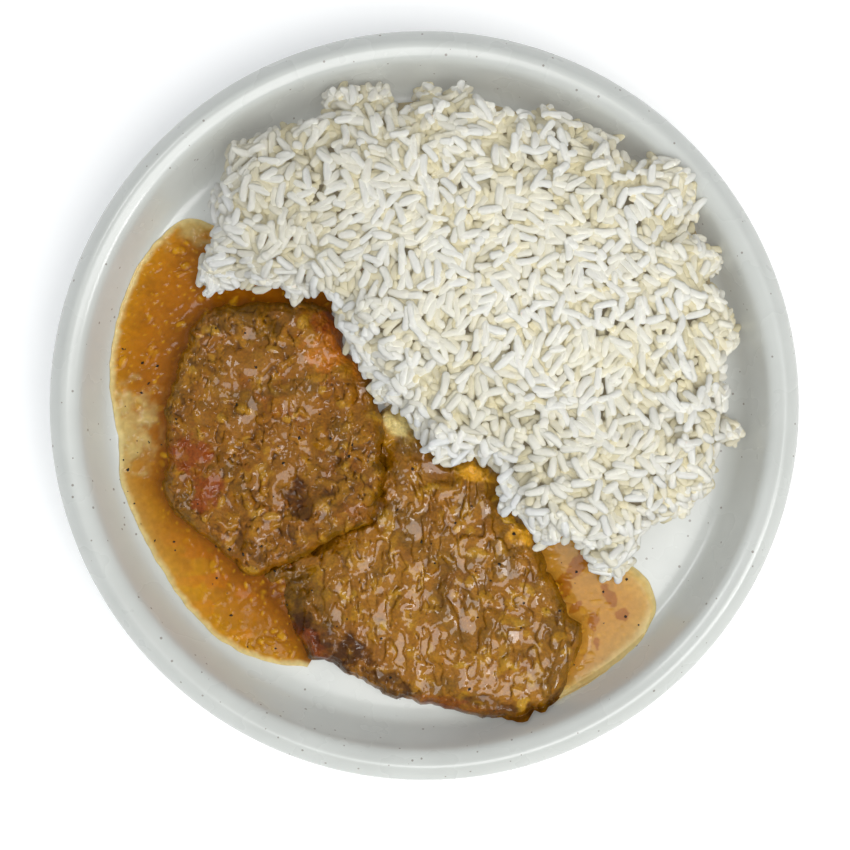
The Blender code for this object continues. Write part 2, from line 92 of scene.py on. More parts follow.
RASTER_STEP = 0.27
OUTLINE_COUNT = 200
# Grated onion on the meat: range of lengths and of widths
BIG_SHRED = ((3.4, 10.0), (2.4, 5.2))
SMALL_SHRED = ((1.4, 3.4), (1.0, 2.2))
# Rings down a slice's side: how far in from its edge, and the share of the edge's height
SIDE_RINGS = ((0.5, 0.55), (1.2, 0.25), (2.4, 0.0))

# Gravy pools: outer edge, and a line under the food that the pool runs to
GRAVY_LEVEL = 9.7
FOOD_REACH = 3.2
GRAVY_BIT = ((2.0, 5.4), (1.3, 3.2))
GRAVY_CRUMB = ((0.8, 2.2), (0.6, 1.5))
GRAVY_LEFT = [
    (-79, 67), (-84, 69), (-90, 68), (-99, 60), (-108, 46), (-112.5, 32), (-115.8, 15),
    (-115, 1), (-112.5, -14), (-111.5, -28), (-106, -43), (-97, -60), (-84, -78), (-69, -90),
    (-55, -95), (-43, -96),
]
GRAVY_LEFT_INNER = [
    (-68, 62), (-50, 54), (-35, 45), (-34, 34), (-44, 20), (-58, 6), (-66, -10), (-66, -28),
    (-61, -44), (-50, -56), (-42, -70), (-36, -84),
]
GRAVY_RIGHT = [
    (60, -49), (67, -54), (75, -58), (83, -65), (85.5, -75), (80, -86), (70, -95), (59, -102.5),
    (50, -107), (45, -108),
]
GRAVY_RIGHT_INNER = [(38, -40), (36, -54), (42, -70), (46, -86), (42, -98), (38, -104)]

# Rice: the heap's outline, the finer edge that its outermost grains draw, one grain, and
# how clumps, single grains and rim grains are laid
RICE_OUTLINE = [
    (-80, 46), (-77, 69), (-66, 90), (-48, 99), (-34, 111), (-11, 114), (17, 115), (42, 108),
    (60, 99), (82, 87), (97, 73), (106, 53), (110, 28), (108, 2), (109, -12), (103, -31),
    (84, -43), (69, -60), (55, -51), (42, -44), (34, -36), (28, -25), (19, -17), (6, -17),
    (-4, -7), (-11, 3), (-18, 8), (-21, 17), (-27, 25), (-32, 35), (-45, 42), (-63, 43),
]
RICE_EDGE = [
    (-71, 95), (-63, 97), (-52, 102), (-44, 104), (-37, 105), (-39, 117), (-34, 115), (-19, 118),
    (-10, 114), (-8, 107), (-3, 110), (-4, 117), (3, 118), (6, 113), (13, 118), (17, 114),
    (24, 112), (28, 107), (41, 107), (45, 111), (50, 107), (61, 101), (72, 98), (70, 93),
    (77, 87), (81, 91), (88, 88), (97, 82), (98, 77), (101, 70), (97, 66), (104, 58),
    (109, 56), (109, 50), (105, 46), (109, 40), (115, 28), (115, 21), (109, 17), (109, 9),
    (111, 2), (109, -3), (114, -2), (117, -10), (114, -16), (107, -14), (107, -23), (105, -31),
    (95, -41), (83, -44), (79, -48), (78, -53), (76, -58), (71, -64), (66, -63), (61, -59),
    (58, -53), (50, -49), (42, -52), (39, -46), (34, -39), (30, -40), (28, -35), (26, -28),
    (26, -23.5), (22, -20.5), (17, -20.5), (10, -21), (4, -20), (0, -16), (-2, -11), (-5, -6),
    (-12, 0), (-18, 1), (-19, 7), (-22, 13), (-27, 20), (-30, 26), (-32, 33), (-37, 40), (-42, 41),
    (-48, 38), (-53, 42), (-59, 42), (-65, 44), (-69, 43), (-74, 42), (-79, 39), (-81, 45),
    (-83, 49), (-80, 53), (-77, 59), (-75, 62), (-77, 69), (-80, 75), (-74, 81),
]
RICE_CENTRE = (21.0, 48.0)
GRAIN_OVERHANG = 3.6
CORE_OVERHANG = 2.6
CORE_GRID = 300
HEAP_STEP = 0.5
HEAP_EDGE = 7.0
HEAP_PEAK = 33.0
HEAP_REACH = 21.0
CLUMP_HEIGHT = 1.9
ROLL_HEIGHT = 3.4
DOME_HEIGHT = 2.8
CREVICE_DEPTH = 4.0
GRAIN_ROOM = 1.8
FRINGE_HEIGHT = 3.6
HEAP_CEILING = 42.2
RICE_SEED = 11
GRAIN_LENGTH = 8.4
GRAIN_WIDTH = 2.95
GRAIN_FLATNESS = 0.78
CLUMP_TRIES = 1500
CLUMP_COUNT = 420
CLUMP_FIRMNESS = 0.35
FILL_ROUNDS = 30
FILL_BATCH = 100
FILL_CHOICE = 2000
FILL_FIRMNESS = 0.05
GRAIN_SPACING = 0.6
SHORT_SHARE = 0.1
SEEN_DEPTH = 4.2
CLUMP_ROWS = (1, 2, 3, 4)
CLUMP_SHARES = (0.4, 0.25, 0.2, 0.15)
LAYER_DEPTH = 4.6
SIDE_COUNT = 1000

# Camera: straight above, a little to the near side, as the plate lies in the picture
CAMERA_PLACE = (0.25, -7.02, 700.0)
CAMERA_LENS = 79.53


def tone(red, green, blue):
    """Turn a display colour of 0 to 255 into linear light."""
    share = np.array([red, green, blue], float) / 255
    return np.where(share <= 0.04045, share / 12.92, ((share + 0.055) / 1.055) ** 2.4)


def smooth_step(value, low=0.0, high=1.0):
    """Rise from 0 to 1 between low and high as 3t^2 - 2t^3."""
    share = np.clip((value - low) / (high - low), 0, 1)
    return share * share * (3 - 2 * share)


def blend_tone(base, other, share):
    """Mix a colour into an array of colours by a share at each point."""
    return base + (np.asarray(other) - base) * np.asarray(share)[..., None]


def even_points(curve, count):
    """Resample a line of points at equal steps along its length."""
    steps = np.linalg.norm(np.diff(curve, axis=0), axis=1)
    along = np.concatenate([[0.0], np.cumsum(steps)])
    wanted = np.linspace(0, along[-1], count)
    return np.column_stack([np.interp(wanted, along, curve[:, axis])
                            for axis in range(curve.shape[1])])


def hermite(start, end, start_slope, end_slope, share):
    """Cubic from one knot to the next that keeps the slope given at each."""
    square, cube = share ** 2, share ** 3
    return ((2 * cube - 3 * square + 1) * start + (cube - 2 * square + share) * start_slope
            + (3 * square - 2 * cube) * end + (cube - square) * end_slope)


def closed_curve(points, count):
    """Smooth closed curve of cubics: the slope at a knot is half its neighbours' step."""
    knots = np.asarray(points, float)
    ahead = np.roll(knots, -1, 0)
    slope = 0.5 * (ahead - np.roll(knots, 1, 0))
    share = np.linspace(0, 1, 20, endpoint=False)[:, None, None]
    curve = hermite(knots, ahead, slope, np.roll(slope, -1, 0), share)
    curve = curve.transpose(1, 0, 2).reshape(-1, 2)
    return even_points(np.vstack([curve, curve[:1]]), count + 1)[:-1]


def open_curve(points, count):
    """Smooth open curve of cubics between knots, ends included."""
    knots = np.asarray(points, float)
    slope = np.gradient(knots, axis=0)
    place = np.linspace(0, len(knots) - 1, 40 * len(knots))
    start = np.clip(place.astype(int), 0, len(knots) - 2)
    part = (place - start)[:, None]
    curve = hermite(knots[start], knots[start + 1], slope[start], slope[start + 1], part)
    return even_points(curve, count)


def counter_clockwise(loop):
    """The loop, turned round where the signed area that it encloses is below 0."""
    ahead = np.roll(loop, -1, 0)
    area = (loop[:, 0] * ahead[:, 1] - ahead[:, 0] * loop[:, 1]).sum()
    return loop if area > 0 else loop[::-1]


def inset(loop, amount):
    """Move a counter-clockwise loop inwards along its normals."""
    along = np.roll(loop, -1, 0) - np.roll(loop, 1, 0)
    along /= np.linalg.norm(along, axis=1)[:, None]
    return loop + amount * np.column_stack([-along[:, 1], along[:, 0]])


def signed_distance(points, loop):
    """Distance from each point to a loop, positive inside it and negative outside."""
    flat = points.reshape(-1, 2)
    start, end = loop, np.roll(loop, -1, 0)
    edge = end - start
    rise = np.where(edge[:, 1] == 0, 1.0, edge[:, 1])
    length = (edge ** 2).sum(1)
    found = []
    for block in np.array_split(flat, max(1, len(flat) // 8000)):
        offset = block[:, None, :] - start
        share = np.clip((offset * edge).sum(2) / length, 0, 1)
        near = np.sqrt(((offset - share[..., None] * edge) ** 2).sum(2).min(1))
        crosses = (start[:, 1] > block[:, None, 1]) != (end[:, 1] > block[:, None, 1])
        hit = start[:, 0] + offset[..., 1] * edge[:, 0] / rise
        inside = ((block[:, None, 0] < hit) & crosses).sum(1) % 2 == 1
        found.append(np.where(inside, near, -near))
    return np.concatenate(found).reshape(points.shape[:-1])


def loop_distance(points, loop):
    """Signed distance read from a coarser raster of it, for points that lie close together."""
    flat = points.reshape(-1, 2)
    coarse = raster_of(flat, 2.0, 1.1)
    return read_raster(signed_distance(coarse, loop), coarse, points)


def waves(points, seed, shortest, longest, count=14):
    """Uneven relief between about -1 and 1: a sum of plane waves of random direction."""
    draw = np.random.default_rng(seed)
    heading = draw.uniform(0, FULL_TURN, count)
    length = draw.uniform(shortest, longest, count)
    phase = draw.uniform(0, FULL_TURN, count)
    total = np.zeros(points.shape[:-1])
    for turn, span, start in zip(heading, length, phase):
        along = points[..., 0] * math.cos(turn) + points[..., 1] * math.sin(turn)
        total += np.cos(along * FULL_TURN / span + start)
    return total / math.sqrt(2 * count)


def mix_four(table, low, high, part):
    """Straight mixing of the four table values round a place, by its part of a cell."""
    near = table[low[..., 0], low[..., 1]] * (1 - part[..., 0])
    near = near + table[high[..., 0], low[..., 1]] * part[..., 0]
    far = table[low[..., 0], high[..., 1]] * (1 - part[..., 0])
    far = far + table[high[..., 0], high[..., 1]] * part[..., 0]
    return near * (1 - part[..., 1]) + far * part[..., 1]


def noise(points, size, seed, octaves=1):
    """Smooth random field from 0 to 1: random values on a lattice of the given size,
    joined by smooth steps, with finer lattices of half the size and strength added."""
    total = np.zeros(points.shape[:-1])
    weight = 0.0
    for octave in range(octaves):
        draw = np.random.default_rng(seed + 101 * octave)
        table = draw.random((LATTICE, LATTICE))
        place = points / (size / 2 ** octave) + draw.uniform(0, 90, 2)
        cell = np.floor(place).astype(int)
        part = place - cell
        part = part * part * (3 - 2 * part)
        total += mix_four(table, cell % LATTICE, (cell + 1) % LATTICE, part) / 2 ** octave
        weight += 1 / 2 ** octave
    return total / weight


def uneven(points, size, seed, octaves=2):
    """The same random field about 0, from -0.5 to 0.5."""
    return noise(points, size, seed, octaves) - 0.5


def islands(points, size, seed, low, high, octaves=3):
    """Flat-topped islands of uneven outline: a smooth random field cut between two levels."""
    return smooth_step(noise(points, size, seed, octaves), low, high)


def warp(points, seed):
    """Random push of each point, from -0.5 to 0.5 along both axes."""
    return np.stack([uneven(points, 7.0, seed + 1), uneven(points, 7.0, seed + 2)], -1)


def turned(offset, turn):
    """Offsets as seen along a heading: how far ahead each is, and how far aside."""
    cosine, sine = math.cos(turn), math.sin(turn)
    return (offset[..., 0] * cosine + offset[..., 1] * sine,
            offset[..., 1] * cosine - offset[..., 0] * sine)


def layered(tint, tones, *layers):
    """Lay named tones over a colour one after another, each by its share at a point."""
    for name, share in layers:
        tint = blend_tone(tint, tones[name], share)
    return tint


def blur(field, radius, step):
    """Soften a raster by three running means, which come close to a bell curve."""
    half = max(1, int(round(radius / step)))
    for axis in (0, 1):
        for _ in range(3):
            pad = [(0, 0)] * field.ndim
            pad[axis] = (half + 1, half)
            total = np.pad(field, pad, mode="edge").cumsum(axis)
            width = 2 * half + 1
            count = field.shape[axis]
            upper = np.take(total, np.arange(width, width + count), axis)
            lower = np.take(total, np.arange(0, count), axis)
            field = (upper - lower) / width
    return field


def raster_of(loop, margin, step=RASTER_STEP):
    """Even raster of points over a loop's box. The first axis runs along x."""
    low = loop.min(0) - margin
    high = loop.max(0) + margin
    across = np.arange(low[0], high[0], step)
    along = np.arange(low[1], high[1], step)
    return np.stack(np.meshgrid(across, along, indexing="ij"), -1)


def read_raster(field, raster, points):
    """Value of a raster field at free points, by straight mixing of the four around."""
    step = raster[1, 0, 0] - raster[0, 0, 0]
    limit = np.array(field.shape[:2]) - 1.001
    place = np.clip((points - raster[0, 0]) / step, 0, limit)
    cell = place.astype(int)
    part = place - cell
    if field.ndim == 3:
        part = part[..., None, :]
    return mix_four(field, cell, cell + 1, part)


def build_mesh(name, points, faces, tints=None, wet=None, flat_from=None):
    """Make a mesh object from points in millimetres and arrays of faces. The tint's alpha
    says how wet a point is, and faces from the given number on are flat."""
    corners = np.concatenate([np.asarray(group, np.int32).ravel() for group in faces])
    sizes = np.concatenate([np.full(len(group), len(group[0]), np.int32) for group in faces])
    mesh = bpy.data.meshes.new(name)
    mesh.vertices.add(len(points))
    mesh.vertices.foreach_set("co", (points * MM).astype(np.float32).ravel())
    mesh.loops.add(len(corners))
    mesh.loops.foreach_set("vertex_index", corners)
    mesh.polygons.add(len(sizes))
    starts = np.concatenate([[0], np.cumsum(sizes)[:-1]]).astype(np.int32)
    mesh.polygons.foreach_set("loop_start", starts)
    mesh.polygons.foreach_set("loop_total", sizes)
    mesh.update(calc_edges=True)
    mesh.validate()
    mesh.shade_smooth()
    if flat_from is not None:
        mesh.polygons.foreach_set("use_smooth", np.arange(len(sizes)) < flat_from)
    if tints is not None:
        layer = mesh.color_attributes.new("tint", "FLOAT_COLOR", "POINT")
        wetness = np.ones(len(points)) if wet is None else wet
        values = np.column_stack([tints, wetness]).astype(np.float32)
        layer.data.foreach_set("color", values.ravel())
    piece = bpy.data.objects.new(name, mesh)
    bpy.context.scene.collection.objects.link(piece)
    return piece


def settle(piece, finish, slot, *nodes):
    """Give a piece its finish, hang it from the root body and hide the solids that it stands
    for.
    """
    piece.data.materials.append(finish)
    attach(piece, "root")
    if nodes:
        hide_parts(*nodes)
    return piece


def ring_quads(lower, upper):
    """Quads between two rings of point numbers, outwards when both run anticlockwise."""
    return np.column_stack([lower, np.roll(lower, -1), np.roll(upper, -1), upper])


def fan_faces(hub, ring):
    """Triangles from one point number to a ring's edges, facing down when the ring runs
    anticlockwise."""
    return np.column_stack([np.full(len(ring), hub), np.roll(ring, -1), ring])


def grid_quads(rows, columns, start=0):
    """Quads of a grid whose point numbers run along its rows."""
    near = (np.arange(rows - 1)[:, None] * columns + np.arange(columns - 1)).ravel() + start
    return np.column_stack([near, near + columns, near + columns + 1, near + 1])


def square_grid(count):
    """A square grid bent onto the unit disc: x' = x sqrt(1 - y^2/2), and the same for y.
    Returns the points' radius and angle, and the border's point numbers anticlockwise."""
    span = np.linspace(-1, 1, count)
    across, along = np.meshgrid(span, span, indexing="ij")
    bent_x = across * np.sqrt(1 - along ** 2 / 2)
    bent_y = along * np.sqrt(1 - across ** 2 / 2)
    number = np.arange(count * count).reshape(count, count)
    border = np.concatenate([number[:-1, 0], number[-1, :-1], number[:0:-1, -1],
                             number[0, :0:-1]])
    return np.hypot(bent_x, bent_y).ravel(), np.arctan2(bent_y, bent_x).ravel(), border


def fill_loop(loop, centre, count):
    """Points over a loop: centre + radius * (the loop's reach at the angle)."""
    radius, angle, border = square_grid(count)
    offset = loop - centre
    heading = np.arctan2(offset[:, 1], offset[:, 0])
    reach = np.linalg.norm(offset, axis=1)
    order = np.argsort(heading)
    far = np.interp(angle, heading[order], reach[order], period=FULL_TURN)
    spread = (radius * far)[:, None]
    flat = np.asarray(centre) + spread * np.column_stack([np.cos(angle), np.sin(angle)])
    return flat, border


def plate_height(points, clearance=0.0):
    """Height of the plate's upper face under each point."""
    radius = np.linalg.norm(points, axis=-1) + clearance
    across, height = np.array(WELL_PROFILE).T
    return np.interp(radius, across, height)


def foot_height(points):
    """Height where a food's side ends, a little above the plate's face."""
    return plate_height(points, 0.3) + 0.1


def make_plate(finish):
    """Turned plate: a smooth profile curve carried round the axis."""
    profile = open_curve(WELL_PROFILE[1:] + RIM_PROFILE[:-1], 150)
    profile[:, 1] = np.maximum(profile[:, 1], 0.0)
    turn = np.linspace(0, FULL_TURN, PLATE_AROUND, endpoint=False)
    radius, height = profile[:, :1], profile[:, 1:]
    rings = np.stack([radius * np.cos(turn), radius * np.sin(turn),
                      np.repeat(height, PLATE_AROUND, 1)], -1)
    points = np.vstack([rings.reshape(-1, 3), [[0, 0, WELL_HEIGHT]],
                        [[0, 0, RIM_PROFILE[-1][1]]]])
    number = np.arange(len(profile) * PLATE_AROUND).reshape(len(profile), PLATE_AROUND)
    quads = np.vstack([ring_quads(number[row + 1], number[row])
                       for row in range(len(profile) - 1)])
    top, bottom = len(points) - 2, len(points) - 1
    lid = fan_faces(top, number[0])[:, [0, 2, 1]]
    base = fan_faces(bottom, number[-1])
    return settle(build_mesh("plate_turned", points, [quads, lid, base]),
                  finish, "plate_glaze", "plate")


def past_covered_edge(points):
    """Distance into the right slice from the edge that the left slice covers."""
    start, end = np.array(COVERED_EDGE)
    along = (end - start) / np.linalg.norm(end - start)
    return (points - start) @ np.array([-along[1], along[0]])


def lift_at(points):
    """How far the left slice is raised where it lies on the right one."""
    return LIFT * smooth_step(past_covered_edge(points), *LIFT_RANGE)


def crown(distance):
    """Share of a slice's thickness reached at a distance in from its edge."""
    return np.interp(distance, [0.0, 0.6, 1.6, 3.5, 9.0, 35.0], [0.34, 0.52, 0.72, 0.89, 1.0, 1.06])


def broad_relief(points, distance, seed):
    """Broad lumps of a slice as a sum of waves, fading out at its edge."""
    return MEAT_RELIEF * waves(points, seed, 8.0, 20.0) * np.clip(distance / 4.0, 0, 1)


def right_form(points, distance):
    """Top of the right slice without its fine relief: it thins under the left slice and
    climbs the plate's wall."""
    taper = smooth_step(past_covered_edge(points), 0, TAPER_WIDTH)
    share = TAPER_SHARE + (1 - TAPER_SHARE) * taper
    body = RIGHT_THICKNESS * share * crown(distance) + broad_relief(points, distance, 3)
    wall = plate_height(points, 0.6) + FOOD_GAP + MEAT_LEAST * crown(distance)
    return np.maximum(WELL_HEIGHT + FOOD_GAP + body, wall)


def left_form(points, distance):
    """Top of the left slice without its fine relief: it rises where it lies on the other."""
    body = LEFT_THICKNESS * crown(distance) + broad_relief(points, distance, 5)
    return WELL_HEIGHT + FOOD_GAP + lift_at(points) + body


def scatter_shreds(points, loop, count, seed, lengths, widths):
    """Raise grated onion: each shred is half an ellipsoid lying along a bent line, and
    the tallest one over a point counts. Returns the height from 0 to 1 and a random
    value of the shred."""
    draw = np.random.default_rng(seed)
    low, high = loop.min(0), loop.max(0)
    raised = np.zeros(points.shape[:-1])
    value = np.zeros(points.shape[:-1])
    origin = points[0, 0]
    step = points[1, 0, 0] - origin[0]
    for _ in range(count):
        place = draw.uniform(low, high)
        turn = draw.uniform(0, math.pi)
        half_length = 0.5 * draw.uniform(*lengths)
        half_width = 0.5 * draw.uniform(*widths)
        bend = draw.uniform(-0.12, 0.12)
        height, own = draw.uniform(0.45, 1.0), draw.random()
        reach = half_length + 1.0
        first = np.clip(((place - reach - origin) / step).astype(int), 0, None)
        last = ((place + reach - origin) / step).astype(int)
        window = (slice(first[0], last[0]), slice(first[1], last[1]))
        along, aside = turned(points[window] - place, turn)
        aside = aside - bend * along ** 2
        inner = 1 - (along / half_length) ** 2 - (aside / half_width) ** 2
        bump = height * np.sqrt(np.clip(inner, 0, 1))
        taller = bump > raised[window]
        raised[window] = np.where(taller, bump, raised[window])
        value[window] = np.where(taller, own, value[window])
    return raised, value


def soft_spot(points, place, size, turn, ragged, seed, near=0.7, far=1.15):
    """A patch from 1 to 0 with a ragged edge: an ellipse whose reach is pushed by noise.
    It fades between the near and far shares of its half sizes."""
    along, aside = turned(points - np.asarray(place, float), turn)
    reach = np.sqrt((along / size[0]) ** 2 + (aside / size[1]) ** 2)
    reach = reach + 1.3 * ragged * uneven(points, 4.0, seed, 4)
    return 1 - smooth_step(reach, near, far)


MARK_TONES = {
    "seared": tone(60, 28, 2), "red": tone(138, 58, 12), "glaze": tone(196, 112, 4),
    "amber": tone(222, 158, 30), "fat": tone(250, 226, 150),
}
# The valley_shade tones are painted shade for the hollows and creases of the relief
MEAT_TONES = {
    "left": {"gold": tone(142, 87, 0), "valley_shade": tone(70, 38, 0), "milky": tone(144, 92, 14),
             "shred": tone(162, 109, 2), "pale": tone(196, 150, 44), "olive": tone(106, 72, 0),
             "lean": tone(140, 77, 4), **MARK_TONES},
    "right": {"gold": tone(152, 97, 0), "valley_shade": tone(96, 57, 0), "milky": tone(158, 104, 10),
              "shred": tone(172, 121, 0), "pale": tone(206, 162, 44), "olive": tone(112, 76, 0),
              "lean": tone(138, 84, 6), **MARK_TONES},
}

# Landmarks of each slice: tone, place, half sizes, turn in degrees, raggedness, strength
LEFT_MARKS = [
    ("red", (-84.0, -19.0), (7.0, 10.0), 15, 1.3, 0.75),
    ("red", (-79.0, -32.0), (4.6, 7.0), -20, 1.3, 0.75),
    ("glaze", (-34.0, 21.0), (9.0, 8.0), 30, 1.5, 0.65),
    ("red", (-36.5, 30.5), (4.5, 4.5), 0, 1.1, 0.8),
    ("red", (-31.0, 23.0), (3.0, 5.0), 20, 1.2, 0.5),
    ("glaze", (-20.0, 12.0), (4.5, 7.0), 60, 0.9, 0.5),
    ("seared", (-45.5, -34.0), (5.0, 8.5), 35, 1.2, 0.8),
    ("seared", (-49.0, -46.0), (4.0, 5.0), 10, 1.1, 0.6),
    ("seared", (-62.0, -52.0), (9.0, 3.2), -38, 1.0, 0.55),
    ("olive", (-57.0, 26.0), (6.0, 3.0), 10, 1.0, 0.6),
    ("olive", (-50.0, 6.0), (12.0, 3.0), 5, 1.0, 0.6),
    ("milky", (-64.0, 16.0), (11.0, 5.5), 6, 0.8, 0.85),
    ("milky", (-52.0, -27.0), (4.0, 13.0), -14, 0.8, 0.8),
    ("lean", (-27.0, -40.0), (6.0, 4.0), 20, 1.0, 0.5),
]
RIGHT_MARKS = [
    ("amber", (-13.0, -9.0), (4.0, 5.0), 0, 0.8, 0.6),
    ("amber", (21.0, -23.5), (10.0, 5.6), -12, 0.9, 1.0),
    ("amber", (36.0, -45.0), (5.0, 8.0), -40, 1.0, 0.95),
    ("fat", (-9.0, -6.0), (8.5, 5.2), -38, 0.6, 1.0),
    ("lean", (-30.0, -84.0), (20.0, 8.0), -36, 1.0, 0.8),
    ("seared", (-36.0, -88.0), (18.0, 9.0), -38, 1.1, 0.9),
    ("red", (-41.0, -86.0), (9.0, 3.5), -40, 1.0, 0.6),
    ("seared", (-48.0, -75.0), (8.0, 12.0), 25, 1.3, 0.85),
    ("seared", (-14.0, -101.0), (13.0, 5.0), -28, 1.0, 0.75),
    ("seared", (20.0, -110.5), (26.0, 4.6), -6, 1.0, 0.65),
    ("red", (12.0, -109.0), (18.0, 2.6), -8, 1.0, 0.4),
    ("seared", (50.0, -106.0), (7.0, 3.6), 60, 1.0, 0.5),
    ("olive", (-49.0, -66.0), (12.0, 8.0), -40, 1.2, 0.6),
    ("olive", (-38.0, -72.0), (11.0, 7.0), -50, 1.2, 0.5),
    ("olive", (-6.0, -16.0), (5.0, 3.5), -45, 1.0, 0.7),
    ("olive", (44.0, -68.0), (6.0, 3.0), -35, 1.0, 0.5),
    ("lean", (2.0, -22.0), (8.0, 3.2), -30, 1.0, 0.6),
    ("milky", (44.0, -66.0), (3.0, 8.0), 10, 1.0, 0.5),
]

# Strength of each part of the sauce's relief, in millimetres apart from the stretch
RELIEF_SIZES = {
    "left": {"plateaus": 0.8, "stretch": 0.7, "onion": 1.5, "flood": 0.26, "swell": 2.8, "lumps": 1.3},
    "right": {"plateaus": 1.0, "stretch": 0.5, "onion": 0.5, "flood": 0.33, "swell": 1.3, "lumps": 0.7},
}


def sauce_relief(points, loop, distance, seed, spots, plateaus, stretch, onion, flood, swell,
                 lumps):
    """Relief of the onion sauce over a slice: broad swells, flat-topped islands parted by
    channels, onion shreds and crumbs, and sauce that floods the low places and the milky
    landmarks. Seared landmarks are sunk. The flood's level and the height meet by a soft
    maximum: level + soft * log(1 + exp((height - level) / soft))."""
    bent = (points + 3.0 * warp(points, seed)) * (1.0, stretch)
    raised = islands(bent, 3.3, seed + 3, 0.42, 0.58)
    big, own_big = scatter_shreds(points, loop, 560, seed + 5, *BIG_SHRED)
    small, own_small = scatter_shreds(points, loop, 600, seed + 6, *SMALL_SHRED)
    big, small = blur(big, 2 * RASTER_STEP, RASTER_STEP), 0.5 * small
    shreds = np.maximum(big, small)
    height = (plateaus * raised + onion * shreds + swell * uneven(points, 9.0, seed + 9)
              + lumps * uneven(points, 3.6, seed + 7)
              + 0.2 * lumps * uneven(points, 1.3, seed + 8))
    level = (blur(height, 2.4, RASTER_STEP) - flood
             + 0.6 * swell * uneven(points, 7.0, seed + 10))
    for mark, spot in spots:
        if mark == "milky":
            level = level + 0.9 * spot
        if mark == "seared":
            height, level = height - 0.8 * spot, level - 0.8 * spot
    soft = 0.2
    height = level + soft * np.logaddexp(0, (height - level) / soft)
    ripple = 0.14 * uneven(points, 2.1, seed + 11)
    edge = np.clip(distance / 1.2, 0, 1)
    return {"height": (height + ripple - 0.8 * onion - 0.3 * plateaus) * edge,
            "cavity": height - blur(height, 0.3, RASTER_STEP),
            "hollow": height - blur(height, 1.0, RASTER_STEP),
            "flooded": 1 - smooth_step(height - level, 0.05, 0.2),
            "shreds": shreds, "own": np.where(big > small, own_big, own_small)}


def sauce_tint(points, relief, distance, spots, seed, tones):
    """Colour of the sauced meat: golden fat over olive channels, milky gravy where it
    floods, paler shreds, an olive rim, painted shade in its hollows and creases, and the
    landmarks' patches."""
    shred = smooth_step(relief["shreds"], 0.2, 0.6)
    rim = (1 - smooth_step(distance, 1.0, 5.0)) * islands(points, 4.0, seed + 9, 0.3, 0.6)
    tint = layered(
        tones["gold"], tones,
        ("olive", 0.7 * islands(points, 11.0, seed + 5, 0.5, 0.7)),
        ("lean", 0.6 * islands(points, 9.0, seed + 6, 0.55, 0.75)),
        ("shred", 0.7 * shred * smooth_step(relief["own"], 0.15, 0.6)),
        ("pale", 0.4 * shred * smooth_step(relief["own"], 0.8, 1.0)),
        # painted shade in the relief's hollows
        ("valley_shade", 0.7 * smooth_step(-relief["hollow"], 0.05, 0.35)),
        ("milky", 0.9 * relief["flooded"] * islands(points, 7.0, seed + 1, 0.36, 0.5, 2)),
        # painted shade in the relief's fine creases
        ("valley_shade", 0.8 * smooth_step(-relief["cavity"], 0.03, 0.17)),
        ("olive", 0.7 * rim))
    for index, (mark, spot) in enumerate(spots):
        patchy = 0.5 + 0.5 * islands(points, 2.6, seed + 70 + index, 0.3, 0.6, 2)
        tint = blend_tone(tint, tones[mark], spot * patchy)
    return tint * (1 + 0.4 * uneven(points, 0.9, seed + 2))[..., None]


def ragged_loop(outline, count, seed, reach, fine):
    """The outline's smooth curve pushed in and out along its normals by noise."""
    loop = counter_clockwise(closed_curve(outline, count))
    push = reach * uneven(loop, 8.0, seed) + fine * uneven(loop, 2.4, seed + 1)
    return inset(loop, 2 * push[:, None])


def bridge_groove(points, top, tint, seed):
    """Sauce that bridges the right slice's groove beside the left one in places, and painted
    shade in the crease where it doesn't. With the distance d from the left slice the sauce
    fades as exp(-(d / width)^2), and the painted shade as exp(-d / 2)."""
    outline = counter_clockwise(closed_curve(LEFT_SLICE, OUTLINE_COUNT))
    beside = -loop_distance(points, outline)
    near = np.exp(-(beside / np.where(beside > 0, 4.5, 1.5)) ** 2)
    bridged = islands(points, 5.0, seed, 0.36, 0.56)
    # painted shade under the left slice's edge, darkest where no sauce bridges
    crease_shade = np.exp(-np.abs(beside) / 2.0) * (1 - 0.7 * bridged)
    return (top + SAUCE_BRIDGE * near * bridged,
            blend_tone(tint, MEAT_TONES["right"]["valley_shade"], 0.8 * crease_shade))


def slice_side(edge, colours, centre, side):
    """Rings down a slice's side, each further in and lower than its edge, and darker with
    painted shade.
    """
    inward = centre - edge[:, :2]
    inward /= np.linalg.norm(inward, axis=1)[:, None]
    rings, tints = [], []
    for amount, share in SIDE_RINGS:
        place = edge[:, :2] + amount * inward
        floor = foot_height(place)
        if side == "left":
            floor = floor + lift_at(place)
        rings.append(np.column_stack([place, (1 - share) * floor + share * edge[:, 2]]))
        # painted shade: the lower the ring, the darker its copy of the edge's colour
        tints.append(colours * (0.85 + 0.15 * share))
    return rings, tints


